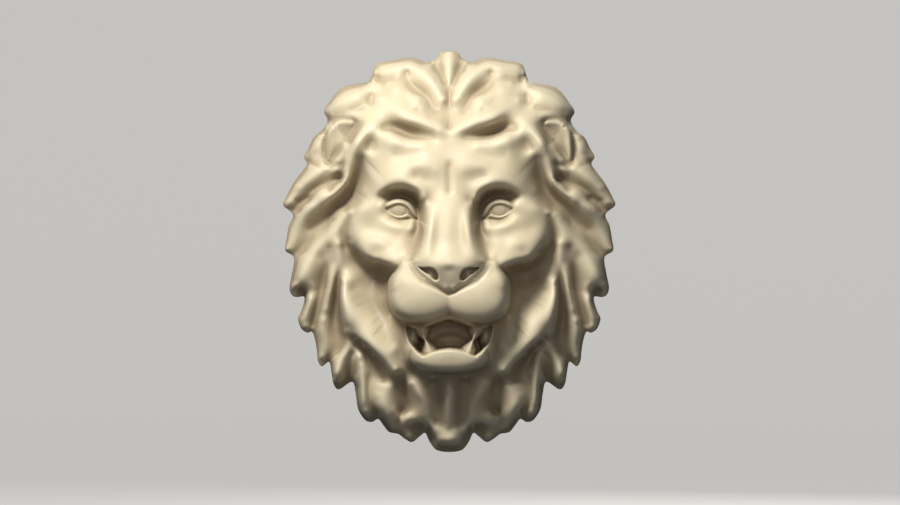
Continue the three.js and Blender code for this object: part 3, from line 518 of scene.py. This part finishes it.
@dataclass(frozen=True)
class Face:
    """Eyes, ears, nostrils, frown, lips, jaw and mouth of one half, all in parts.

    A wall or a run is the pair of places where a smooth step starts and ends, measured into an
    edge, from its rim, or up the head.
    """

    eye_edge: tuple[Place, ...] = (
        (30.5, 31), (34.5, 33.5), (37, 38), (40.5, 43.3), (45, 46), (50, 47), (56, 45.5), (62, 42.3),
        (59.5, 39), (55, 36), (50, 34.6), (45, 35), (41, 36.3), (37.5, 34.5), (34, 32), (30.5, 31),
    )
    eye_middle: Place = (48.0, 45.0)
    ball_level: float = 78.6
    ball_fall: float = 0.02
    ball_squash: float = 1.3
    iris_middle: Place = (49.0, 41.5)
    iris_radius: float = 7.0
    iris_groove: float = 0.5
    iris_line: float = 1.0
    lid_rises: Run = (2.2, 2.6)
    lid_widths: Run = (1.4, 2.3)
    lid_fall: float = 0.7
    lid_reach: float = 12.0
    lid_wall: Run = (-0.6, 0.6)
    lid_parting: Run = (36.0, 40.0)
    lid_parting_lean: float = 0.3
    ear_edge: tuple[Place, ...] = (
        (93.5, 128), (98, 129.7), (105, 130), (110, 129), (114.5, 126), (118.5, 121), (121, 115),
        (122, 108), (122.2, 100), (121.6, 93), (121, 88.5), (116, 91.5), (111, 97.5), (106.8, 103.5),
        (103, 110), (99, 117.5), (93.5, 128),
    )
    ear_rolled_places: int = 10
    ear_middle: Place = (108.0, 118.0)
    ear_level: float = 43.5
    ear_lean: float = 0.3
    ear_tilt: float = 0.1
    ear_bow: float = 0.004
    ear_roll: float = 1.2
    ear_roll_place: float = 2.0
    ear_roll_width: float = 1.6
    ear_dish: float = 2.5
    ear_dish_run: Run = (1.0, 10.0)
    ear_groove: float = 1.6
    ear_groove_place: float = -1.2
    ear_groove_width: float = 1.7
    ear_wall: Run = (-1.3, 1.3)
    nostril_edge: tuple[Place, ...] = (
        (30, -15), (25, -15.4), (19, -15.3), (14.5, -17), (11.6, -20.5), (10.3, -24.5), (11, -27.5),
        (14, -28.2), (19, -24.8), (25, -20), (28.5, -17), (30, -15),
    )
    nostril_upper_places: int = 7
    nostril_depths: Run = (9.0, 3.5)
    nostril_fade: Run = (0.0, 9.0)
    nostril_wall: Run = (-0.6, 1.8)
    nose_edge: tuple[Place, ...] = (
        (-8, -38), (0, -41), (12, -35.8), (22, -31.3), (30, -25.8), (35.5, -19.5), (38.5, -12), (36, 0),
        (30, 20), (-8, 20), (-8, -38),
    )
    nose_inside: float = 3.0
    nose_crease: float = 2.5
    crease_run: Run = (-8.0, -22.0)
    crease_wall: Run = (-3.5, 0.5)
    mouth_edge: tuple[Place, ...] = (
        (-12, -67), (0, -65.5), (12, -69), (20, -72), (25, -74.3), (33, -74.5), (42, -72.8),
        (41.6, -82), (39.5, -89), (34, -96), (28, -101), (23.5, -102), (14, -98), (0, -96),
        (-12, -98), (-12, -67),
    )
    mouth_floor: float = 52.0
    mouth_wall: Run = (-0.6, 3.4)
    mouth_blend: float = 2.0
    frown_depth: float = 2.6
    frown_half_width: float = 3.6
    frown_foot: Run = (52.0, 60.0)
    frown_top: Run = (92.0, 82.0)
    lip_parting: float = 6.0
    lip_blend: float = 2.5
    upper_lip_blend: float = 8.0
    upper_lip_run: Run = (-36.0, -20.0)
    jaw_blend: float = 1.5
    lid_blend: float = 1.0
    edge_steps: int = 5
    ear_edge_steps: int = 6
    lip: Pad = Pad((30, -43), (32.5, 31.5), 112.5, 14, 42, 2.2, 0.8, 46, (-28, -40))
    jaw: Pad = Pad((0, -97.5), (42.5, 24), 97, 9, 28, 2.6)
    tongue: Pad = Pad((0, -92), (19, 12), 62, 10)
    cheek: Pad = Pad((36, -84), (8, 16), 74, 20)
    fangs: tuple[Fang, ...] = (
        Fang(((28, -72), (26, -79), (23.5, -87)), (5.8, 3.4, 0.9), (87, 89, 88)),
        Fang(((18.5, -100), (21, -92.5), (23, -86.5)), (6.0, 3.4, 0.9), (90, 90, 89)),
    )

    def carve(self, level: np.ndarray, x: np.ndarray, z: np.ndarray) -> np.ndarray:
        """The sheet with the lips and the jaw on it and all the cuts made.

        Args:
            level: Level of the sheet.
            x: Places of the half, across.
            z: Places, up.

        Returns:
            The finished level.
        """
        width = self.lip_blend + self.upper_lip_blend * rise_over(z, self.upper_lip_run)
        nose = depth_inside(self.edge(self.nose_edge), x, z)
        rounded = np.sqrt(x**2 + self.lip_parting)
        crease = self.nose_crease * rise_over(z, self.crease_run)
        lip = self.lip.height(rounded, z) - crease * rise_over(nose, self.crease_wall)
        level = blend_higher(level, np.where(nose > self.nose_inside, FAR_BELOW, lip), width)
        level = blend_higher(level, self.jaw.height(x, z), self.jaw_blend)
        level = self.set_eye(level, x, z)
        level = self.set_ear(level, x, z)
        run = rise_over(z, self.frown_foot) * rise_over(z, self.frown_top)
        level = level - self.frown_depth * bell(x, self.frown_half_width) * run
        into = depth_inside(self.edge(self.nostril_edge), x, z)
        upper = self.edge(self.nostril_edge[: self.nostril_upper_places])
        deep, shallow = self.nostril_depths
        fade = rise_over(distance_to(upper, x, z), self.nostril_fade)
        drop = deep - (deep - shallow) * fade
        level = level - drop * rise_over(into, self.nostril_wall)
        return self.open_mouth(level, x, z)

    def edge(self, places: tuple[Place, ...]) -> np.ndarray:
        """The smooth curve through the places of a drawn edge."""
        return curve_through(np.array(places), self.edge_steps)

    def set_eye(self, level: np.ndarray, x: np.ndarray, z: np.ndarray) -> np.ndarray:
        """The eyeball behind two lids: lids of even width round the opening, the ball inside.

        Args:
            level: Level so far.
            x: Places of the half, across.
            z: Places, up.

        Returns:
            The level with the eye in it.
        """
        into = depth_inside(self.edge(self.eye_edge), x, z)
        outward = x - self.eye_middle[0]
        off = outward**2 + self.ball_squash * (z - self.eye_middle[1]) ** 2
        ball = self.ball_level - self.ball_fall * off
        to_iris = np.hypot(x - self.iris_middle[0], z - self.iris_middle[1]) - self.iris_radius
        upper = rise_over(z - self.lid_parting_lean * outward, self.lid_parting)
        width = self.lid_widths[0] + (self.lid_widths[1] - self.lid_widths[0]) * upper
        rise = self.lid_rises[0] + (self.lid_rises[1] - self.lid_rises[0]) * upper
        lid = ball + rise - self.lid_fall * np.maximum(0.0, -into - width) ** 2
        ball = ball - self.iris_groove * bell(to_iris, self.iris_line)
        lid = np.where(into > -self.lid_reach, lid, FAR_BELOW)
        lids = blend_higher(level, lid, self.lid_blend)
        return lids + (ball - lids) * rise_over(into, self.lid_wall)

    def set_ear(self, level: np.ndarray, x: np.ndarray, z: np.ndarray) -> np.ndarray:
        """The ear: a shell that leans back, dished behind its rolled outer rim.

        Args:
            level: Level so far.
            x: Places of the half, across.
            z: Places, up.

        Returns:
            The level with the ear in it.
        """
        into = depth_inside(curve_through(np.array(self.ear_edge), self.ear_edge_steps), x, z)
        rolled = np.array(self.ear_edge[: self.ear_rolled_places])
        to_rim = distance_to(curve_through(rolled, self.ear_edge_steps), x, z)
        outward = x - self.ear_middle[0]
        upward = z - self.ear_middle[1]
        shell = self.ear_level - self.ear_lean * outward
        shell = shell + self.ear_tilt * upward - self.ear_bow * upward**2
        shell = shell + self.ear_roll * bell(to_rim - self.ear_roll_place, self.ear_roll_width)
        shell = shell - self.ear_dish * rise_over(to_rim, self.ear_dish_run)
        groove = self.ear_groove * bell(into - self.ear_groove_place, self.ear_groove_width)
        return level + (shell - level) * rise_over(into, self.ear_wall) - groove

    def open_mouth(self, level: np.ndarray, x: np.ndarray, z: np.ndarray) -> np.ndarray:
        """The open mouth, with a tongue and the cheeks in its floor and four fangs at its edges.

        Args:
            level: Level so far.
            x: Places of the half, across.
            z: Places, up.

        Returns:
            The level with the mouth in it.
        """
        into = depth_inside(self.edge(self.mouth_edge), x, z)
        floor = np.full_like(level, self.mouth_floor)
        floor = blend_higher(floor, self.tongue.height(x, z), self.mouth_blend)
        floor = blend_higher(floor, self.cheek.height(x, z), self.mouth_blend)
        level = level + (floor - level) * rise_over(into, self.mouth_wall)
        opening = into > self.mouth_wall[0]
        for fang in self.fangs:
            level = np.where(opening, np.maximum(level, fang.height(x, z)), level)
        return level


@dataclass(frozen=True)
class CastStone:
    """Cream cast stone, warm and mottled, with painted shade in hollows and a painted highlight on crests.
    """

    body: Colour = (0.76, 0.67, 0.47)
    warm: Colour = (0.68, 0.58, 0.40)
    hollow: Colour = (0.34, 0.27, 0.18)
    # Painted shade: the brown laid into sheltered hollows and grooves
    crest: Colour = (0.86, 0.79, 0.60)
    # Painted highlight: the pale colour laid on crests and edges
    mottle_run: Run = (0.35, 0.68)
    hollow_shade_run: Run = (0.03, 0.45)
    # Runs and shares of the painted shade in hollows and grooves and of the painted highlight on crests
    hollow_shade_share: float = 0.9
    groove_shade_run: Run = (0.47, 0.15)
    groove_shade_share: float = 0.4
    crest_highlight_run: Run = (0.53, 0.85)
    crest_highlight_share: float = 0.35
    speck_run: Run = (0.60, 0.82)
    speck_share: float = 0.25
    specular: float = 0.42
    roughness: Run = (0.42, 0.58)
    mottle_scale: float = 22.0
    mottle_detail: float = 5.0
    speck_scale: float = 88.0
    speck_detail: float = 6.0
    grain_scale: float = 900.0
    grain_detail: float = 3.0
    grain_height: float = 0.00012
    grain_strength: float = 0.25

    def material(self) -> bpy.types.Material:
        """Build the colour from noise on Object coordinates and from masks that paint shade and highlight.

        Each layer of colour lies over the ones before it by the rise of its value over its run.

        Returns:
            The finished material.
        """
        made = bpy.data.materials.new("cast_stone_with_painted_light")
        made.use_nodes = True
        tree = made.node_tree
        shader = tree.nodes["Principled BSDF"]
        shader.inputs["Specular IOR Level"].default_value = self.specular
        place = tree.nodes.new("ShaderNodeTexCoord")
        mottle = self.noise(tree, place, self.mottle_scale, self.mottle_detail)
        patches = self.noise(tree, place, self.speck_scale, self.speck_detail)
        grain = self.noise(tree, place, self.grain_scale, self.grain_detail)
        shelter = self.mask(tree, "shelter")
        crest = self.mask(tree, "crest")
        tone: bpy.types.NodeSocket | Colour = self.body
        # Mottle and specks are the stone's own tone; shelter and low crest values lay painted shade, high
        # crest values a painted highlight
        for value, run, full, over in (
            (mottle, self.mottle_run, 1.0, self.warm),
            (shelter, self.hollow_shade_run, self.hollow_shade_share, self.hollow),
            (crest, self.groove_shade_run, self.groove_shade_share, self.hollow),
            (crest, self.crest_highlight_run, self.crest_highlight_share, self.crest),
            (patches, self.speck_run, self.speck_share, self.warm),
        ):
            tone = self.mix(tree, self.ramp(tree, value, run, full), tone, over)
        tree.links.new(tone, shader.inputs["Base Color"])
        rough = tree.nodes.new("ShaderNodeMapRange")
        rough.inputs["To Min"].default_value = self.roughness[0]
        rough.inputs["To Max"].default_value = self.roughness[1]
        tree.links.new(patches, rough.inputs["Value"])
        tree.links.new(rough.outputs["Result"], shader.inputs["Roughness"])
        bump = tree.nodes.new("ShaderNodeBump")
        bump.inputs["Strength"].default_value = self.grain_strength
        bump.inputs["Distance"].default_value = self.grain_height
        tree.links.new(grain, bump.inputs["Height"])
        tree.links.new(bump.outputs["Normal"], shader.inputs["Normal"])
        return made

    def mask(self, tree: bpy.types.NodeTree, name: str) -> bpy.types.NodeSocket:
        """The value of one of the surface's own masks."""
        node = tree.nodes.new("ShaderNodeAttribute")
        node.attribute_name = name
        return node.outputs["Fac"]

    def noise(
        self, tree: bpy.types.NodeTree, place: bpy.types.Node, scale: float, detail: float
    ) -> bpy.types.NodeSocket:
        """Noise on the piece's own Object coordinates.

        Args:
            tree: The material's nodes.
            place: The coordinate node.
            scale: Patches in a metre.
            detail: Octaves of finer noise on top.

        Returns:
            The noise value.
        """
        node = tree.nodes.new("ShaderNodeTexNoise")
        node.inputs["Scale"].default_value = scale
        node.inputs["Detail"].default_value = detail
        tree.links.new(place.outputs["Object"], node.inputs["Vector"])
        return node.outputs["Fac"]

    def ramp(
        self, tree: bpy.types.NodeTree, value: bpy.types.NodeSocket, run: Run, full: float
    ) -> bpy.types.NodeSocket:
        """A smooth rise of a value, from 0 at the start of a run to full at its end.

        Args:
            tree: The material's nodes.
            value: What is measured.
            run: Value where the rise begins, and value where it is full.
            full: The result there.

        Returns:
            The eased value.
        """
        start, end = run
        node = tree.nodes.new("ShaderNodeMapRange")
        node.interpolation_type = "SMOOTHSTEP"
        node.inputs["From Min"].default_value = min(start, end)
        node.inputs["From Max"].default_value = max(start, end)
        node.inputs["To Min"].default_value = 0.0 if start < end else full
        node.inputs["To Max"].default_value = full if start < end else 0.0
        tree.links.new(value, node.inputs["Value"])
        return node.outputs["Result"]

    def mix(
        self,
        tree: bpy.types.NodeTree,
        share: bpy.types.NodeSocket,
        under: bpy.types.NodeSocket | Colour,
        over: Colour,
    ) -> bpy.types.NodeSocket:
        """Lay one colour over another.

        Args:
            tree: The material's nodes.
            share: How much of the colour on top shows.
            under: The colour or node output below.
            over: The colour on top.

        Returns:
            The mixed colour.
        """
        node = tree.nodes.new("ShaderNodeMixRGB")
        tree.links.new(share, node.inputs["Fac"])
        if isinstance(under, tuple):
            node.inputs["Color1"].default_value = (*under, 1.0)
        else:
            tree.links.new(under, node.inputs["Color1"])
        node.inputs["Color2"].default_value = (*over, 1.0)
        return node.outputs["Color"]


@dataclass
class LionRelief:
    """The cast body: carved front, rounded rim with a drawn-in foot, and a flat back."""

    height: float = 0.300
    width: float = 0.248
    depth: float = 0.091
    rim_depth: float = 0.0132
    rim_draft: float = 0.0016
    parts_tall: float = 400.0
    parts_wide: float = 331.0
    parts_deep: float = 121.68
    pin_step: float = 4.0
    rim_step: float = 6.0
    rim_softness: float = 2.0
    closest_pins: float = 0.9
    grid_half: int = 154
    middle_density: float = 0.15
    oval_half_width: float = 152.0
    oval_half_height: float = 186.0
    draft_start: float = 0.45
    # Reach of the masks that paint shade into hollows and grooves and a highlight on crests
    shelter_directions: int = 16
    shelter_steps: tuple[int, ...] = (2, 4, 7, 11, 16, 24, 34)
    shelter_gap: float = 0.5
    shelter_from_above: float = 0.5
    near_radius: int = 2
    near_height: float = 2.0
    wide_radius: int = 5
    wide_height: float = 6.25
    face: Face = Face()
    finish: CastStone = CastStone()

    @property
    def rim_level(self) -> float:
        """Level of the rim in parts."""
        return self.rim_depth * self.parts_deep / self.depth

    @property
    def drawn(self) -> np.ndarray:
        """The drawn places of one half's outline, from the crown to the beard."""
        return np.array([place for tuft in TUFTS for place in tuft.path], float)

    def pins(self) -> np.ndarray:
        """Even places on every carving line and on the outline, none too close to another.

        Returns:
            Rows of (across, up, level, softness).
        """
        rows = []
        for line in CARVING:
            places = even_places(np.array(line.path, float), self.pin_step)
            rows.append(np.column_stack([places, np.full(len(places), line.softness.value)]))
        rim = even_places(self.drawn, self.rim_step)
        flat = np.tile([self.rim_level, self.rim_softness], (len(rim), 1))
        rows.append(np.column_stack([rim, flat]))
        every = np.vstack(rows)
        gaps = np.hypot(*(every[:, None, k] - every[None, :, k] for k in range(2)))
        crowded = (np.tril(gaps < self.closest_pins, -1)).any(axis=1)
        return every[~crowded]

    def relief(self, x: np.ndarray, z: np.ndarray) -> np.ndarray:
        """Level of the finished relief at places of the right half.

        Args:
            x: Places, across, none negative.
            z: Places, up.

        Returns:
            Levels in parts.
        """
        sheet = StretchedSheet(self.pins())
        return self.face.carve(sheet.level(x, z), x, z)

    def grid(self) -> tuple[np.ndarray, np.ndarray]:
        """Places of the front: a square grid wrapped on the outline.

        A square's ring becomes a ring round the middle. Its turn is 0 at the crown and 1 at the
        beard and grows by a quarter over each half side. Rings run from an oval in the middle to
        the outline at the rim by reach = share times (oval + (outline - oval) times share to the
        4th), where share = ring times (1 - middle density + middle density times ring squared).

        Returns:
            Across and up, each a square array with columns from left to right.
        """
        count = self.grid_half
        steps = np.arange(-count, count + 1) / count
        across, up = np.meshgrid(steps, steps)
        side = np.abs(across)
        ring = np.maximum(side, np.abs(up))
        safe = np.maximum(ring, TINY)
        top = 0.25 * side / safe
        turn = np.where(side >= np.abs(up), 0.5 - 0.25 * up / safe, np.where(up > 0, top, 1.0 - top))
        edge = curve_through(self.drawn, FINE_STEPS)
        angle = np.unwrap(np.arctan2(edge[:, 0], edge[:, 1]))
        even = 0.5 * travelled(edge) / travelled(edge)[-1] + 0.5 * angle / math.pi
        out_x = np.interp(turn, even, edge[:, 0])
        out_z = np.interp(turn, even, edge[:, 1])
        radius = np.hypot(out_x, out_z)
        oval = 1.0 / np.hypot(out_x / radius / self.oval_half_width, out_z / radius / self.oval_half_height)
        share = ring * (1.0 - self.middle_density + self.middle_density * ring**2)
        reach = share * (oval + (radius - oval) * share**4)
        return np.sign(across) * reach * out_x / radius, reach * out_z / radius

    def shelter(self, x: np.ndarray, z: np.ndarray, level: np.ndarray) -> np.ndarray:
        """How far each place is shut in by what stands round it, where painted shade darkens the colour.

        In every direction the steepest rise to the places a few to many steps away is found. The
        shelter is the mean of the squared sines of these rises, those from above counting more.

        Args:
            x: Places on the square grid, across.
            z: Places, up.
            level: Levels there.

        Returns:
            Values from 0 where nothing stands higher to 1 at the foot of high walls.
        """
        last = level.shape[0] - 1
        number = np.arange(last + 1)
        total = np.zeros_like(level)
        for angle in np.linspace(0.0, 2.0 * math.pi, self.shelter_directions, endpoint=False):
            steepest = np.zeros_like(level)
            for steps in self.shelter_steps:
                rows = np.clip(number + round(steps * math.cos(angle)), 0, last)
                columns = np.clip(number + round(steps * math.sin(angle)), 0, last)
                there = np.ix_(rows, columns)
                rise = level[there] - level
                run = np.hypot(x[there] - x, z[there] - z) + self.shelter_gap
                steepest = np.maximum(steepest, rise / np.hypot(rise, run))
            total += (1.0 + self.shelter_from_above * math.cos(angle)) * steepest**2
        return np.clip(self.spread(total / self.shelter_directions, self.near_radius), 0.0, 1.0)

    def crest(self, level: np.ndarray) -> np.ndarray:
        """How far each place stands above the mean of its near neighbourhood, 0.5 where even.

        Args:
            level: Levels on the square grid.

        Returns:
            Values from 0 in grooves to 1 on edges, which set painted shade and painted highlight.
        """
        near = (level - self.spread(level, self.near_radius)) / self.near_height
        wide = (level - self.spread(level, self.wide_radius)) / self.wide_height
        return np.clip(0.5 + near + wide, 0.0, 1.0)

    def spread(self, values: np.ndarray, radius: int) -> np.ndarray:
        """The mean of each value and its neighbours on the square grid.

        Args:
            values: Numbers on the grid.
            radius: How many neighbours count to each side, along both axes.

        Returns:
            The means, by differences of running sums.
        """
        mean = values
        size = 2 * radius + 1
        for axis in (0, 1):
            padded = np.pad(mean, [(radius + 1, radius) if a == axis else (0, 0) for a in (0, 1)], "edge")
            summed = np.cumsum(padded, axis=axis)
            ahead = np.take(summed, np.arange(size, summed.shape[axis]), axis=axis)
            behind = np.take(summed, np.arange(0, summed.shape[axis] - size), axis=axis)
            mean = (ahead - behind) / size
        return mean

    def build(self) -> bpy.types.Object:
        """Build the closed body: carved front, side of the rim, and flat back.

        Returns:
            The piece, with its place in its mesh.
        """
        x, z = self.grid()
        count = self.grid_half
        half_level = self.relief(x[:, count:].ravel(), z[:, count:].ravel())
        half_level = half_level.reshape(x.shape[0], count + 1)
        level = np.concatenate([half_level[:, :0:-1], half_level], axis=1)
        number = np.arange(x.size).reshape(x.shape)
        loop = np.concatenate([number[-1, :-1], number[:0:-1, -1], number[0, :0:-1], number[:-1, 0]])
        level.ravel()[loop] = self.rim_level
        # Masks for the painted shade in hollows and grooves and the painted highlight on crests
        masks = {"shelter": self.shelter(x, z, level), "crest": self.crest(level)}

        part_wide = self.width / self.parts_wide
        part_high = self.height / self.parts_tall
        part_deep = self.depth / self.parts_deep
        front = np.column_stack([x.ravel() * part_wide, -level.ravel() * part_deep, z.ravel() * part_high])
        edge = front[loop]
        radius = np.hypot(edge[:, 0], edge[:, 2])[:, None]
        rings = [front]
        for share, drawn_in in ((self.draft_start, 0.0), (0.0, 1.0)):
            ring = edge * (1.0 - drawn_in * self.rim_draft / radius)
            ring[:, 1] = edge[:, 1] * share
            rings.append(ring)
        rings.append(np.zeros((1, 3)))
        places = np.vstack(rings)

        a, b = number[:-1, :-1].ravel(), number[:-1, 1:].ravel()
        c, d = number[1:, 1:].ravel(), number[1:, :-1].ravel()
        faces = [np.column_stack([a, b, c, d])]
        bands = [loop, x.size + np.arange(len(loop)), x.size + len(loop) + np.arange(len(loop))]
        for inner, outer in zip(bands[:-1], bands[1:]):
            faces.append(np.column_stack([inner, np.roll(inner, -1), np.roll(outer, -1), outer]))
        foot = bands[-1]
        back = np.column_stack([np.full(len(foot), len(places) - 1), foot, np.roll(foot, -1)])
        quads = np.vstack(faces)

        mesh = bpy.data.meshes.new("lion_relief_cast")
        mesh.from_pydata(places.tolist(), [], quads.tolist() + back.tolist())
        mesh.update()
        for name, mask in masks.items():
            values = np.full(len(places), np.median(mask), np.float32)
            values[: x.size] = mask.ravel()
            mesh.attributes.new(name, "FLOAT", "POINT").data.foreach_set("value", values)
        smooth = np.ones(len(mesh.polygons), bool)
        smooth[-len(back) :] = False
        mesh.polygons.foreach_set("use_smooth", smooth)
        piece = bpy.data.objects.new("lion_relief_cast", mesh)
        bpy.context.scene.collection.objects.link(piece)
        mesh.materials.append(self.finish.material())
        return piece


@dataclass(frozen=True)
class Lamp:
    """A square soft light aimed at the plaque: its place and side in metres, power in watts."""

    name: str
    place: Pin
    side: float
    power: float
    colour: Colour


@dataclass
class Studio:
    """A pale round studio, soft lights and the camera, square before the plaque."""

    lamps: tuple[Lamp, ...] = (
        Lamp("key", (-0.36, -0.76, 0.84), 0.3, 16.4, (1.0, 0.97, 0.91)),
        Lamp("fill", (0.2, -2.6, 0.5), 1.0, 8.0, (1.0, 0.97, 0.92)),
        Lamp("back", (0.5, 2.2, 0.7), 1.0, 13.0, (1.0, 0.97, 0.92)),
    )
    sky: Colour = (0.93, 0.95, 1.0)
    sky_strength: float = 0.09
    floor_drop: float = 0.36
    floor_reach: float = 3.4
    sweep_radius: float = 1.0
    wall_height: float = 3.0
    sweep_steps: int = 16
    round_steps: int = 96
    pale: Colour = (0.62, 0.61, 0.59)
    floor_roughness: float = 0.9
    floor_glow: float = 0.75
    picture_width: int = 900
    picture_height: int = 505
    plaque_pixels: float = 399.0
    plaque_middle: Place = (449.25, 251.5)
    lens: float = 135.0
    sensor: float = 36.0

    def build(self, plaque_height: float) -> None:
        """Set up the floor, the lights and the camera.

        Args:
            plaque_height: Height of the plaque, which sets the scale of the picture.
        """
        self.add_floor()
        for lamp in self.lamps:
            self.add_lamp(lamp)
        self.add_sky()
        bpy.context.scene.view_settings.view_transform = "Standard"
        self.add_camera(plaque_height)

    def add_floor(self) -> None:
        """A bowl: a flat floor that sweeps up all round, its profile turned about the middle."""
        arc = np.linspace(0.0, math.pi / 2.0, self.sweep_steps + 1)
        sweep = self.floor_reach + self.sweep_radius * np.sin(arc)
        radius = np.concatenate([[0.0], sweep, sweep[-1:]])
        rise = np.concatenate([[0.0], self.sweep_radius * (1.0 - np.cos(arc)), [self.wall_height]])
        turns = np.linspace(0.0, 2.0 * math.pi, self.round_steps, endpoint=False)
        x = radius[1:, None] * np.cos(turns)
        y = radius[1:, None] * np.sin(turns)
        z = np.broadcast_to(rise[1:, None] - self.floor_drop, x.shape)
        places = np.column_stack([x.ravel(), y.ravel(), z.ravel()])
        places = np.vstack([places, [0.0, 0.0, -self.floor_drop]])
        number = np.arange(x.size).reshape(x.shape)
        after = np.roll(number, -1, axis=1)
        quads = np.column_stack(
            [number[:-1].ravel(), number[1:].ravel(), after[1:].ravel(), after[:-1].ravel()]
        )
        fan = np.column_stack([np.full(len(turns), x.size), number[0], after[0]])
        mesh = bpy.data.meshes.new("studio_floor")
        mesh.from_pydata(places.tolist(), [], quads.tolist() + fan.tolist())
        mesh.polygons.foreach_set("use_smooth", np.ones(len(mesh.polygons), bool))
        floor = bpy.data.objects.new("studio_floor", mesh)
        bpy.context.scene.collection.objects.link(floor)
        pale = bpy.data.materials.new("pale_floor")
        pale.use_nodes = True
        shader = pale.node_tree.nodes["Principled BSDF"]
        shader.inputs["Base Color"].default_value = (*self.pale, 1.0)
        shader.inputs["Roughness"].default_value = self.floor_roughness
        shader.inputs["Emission Color"].default_value = (*self.pale, 1.0)
        shader.inputs["Emission Strength"].default_value = self.floor_glow
        mesh.materials.append(pale)
        floor.visible_diffuse = False
        floor.visible_glossy = False

    def add_lamp(self, lamp: Lamp) -> None:
        """Hang one lamp and aim it at the plaque.

        Args:
            lamp: The lamp and its place.
        """
        light = bpy.data.lights.new(lamp.name, "AREA")
        light.size = lamp.side
        light.energy = lamp.power
        light.color = lamp.colour
        hung = bpy.data.objects.new(lamp.name, light)
        hung.location = lamp.place
        hung.rotation_euler = (-Vector(lamp.place)).to_track_quat("-Z", "Y").to_euler()
        bpy.context.scene.collection.objects.link(hung)

    def add_sky(self) -> None:
        """An even pale light from all round."""
        world = bpy.data.worlds.new("studio_light")
        world.use_nodes = True
        background = world.node_tree.nodes["Background"]
        background.inputs["Color"].default_value = (*self.sky, 1.0)
        background.inputs["Strength"].default_value = self.sky_strength
        bpy.context.scene.world = world

    def add_camera(self, plaque_height: float) -> None:
        """A long lens square before the plaque, at the distance that gives its height in pixels.

        Args:
            plaque_height: Height of the plaque in metres.
        """
        pixel = plaque_height / self.plaque_pixels
        distance = pixel * self.picture_width * self.lens / self.sensor
        off_x = (self.picture_width / 2.0 - self.plaque_middle[0]) * pixel
        off_z = (self.plaque_middle[1] - self.picture_height / 2.0) * pixel
        data = bpy.data.cameras.new("camera")
        data.lens = self.lens
        data.sensor_width = self.sensor
        camera = bpy.data.objects.new("camera", data)
        camera.location = (off_x, -distance, off_z)
        camera.rotation_euler = (math.pi / 2.0, 0.0, 0.0)
        bpy.context.scene.collection.objects.link(camera)
        bpy.context.scene.camera = camera


def main() -> None:
    logging.basicConfig(level=logging.INFO, format="%(message)s")
    plaque = LionRelief()
    piece = plaque.build()
    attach(piece, "root")
    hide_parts("lion_relief")
    log.info("%s: %d faces", piece.name, len(piece.data.polygons))
    studio = Studio()
    studio.build(plaque.height)
    log.info("studio: floor, lights and camera")


if __name__ == "__main__":
    main()
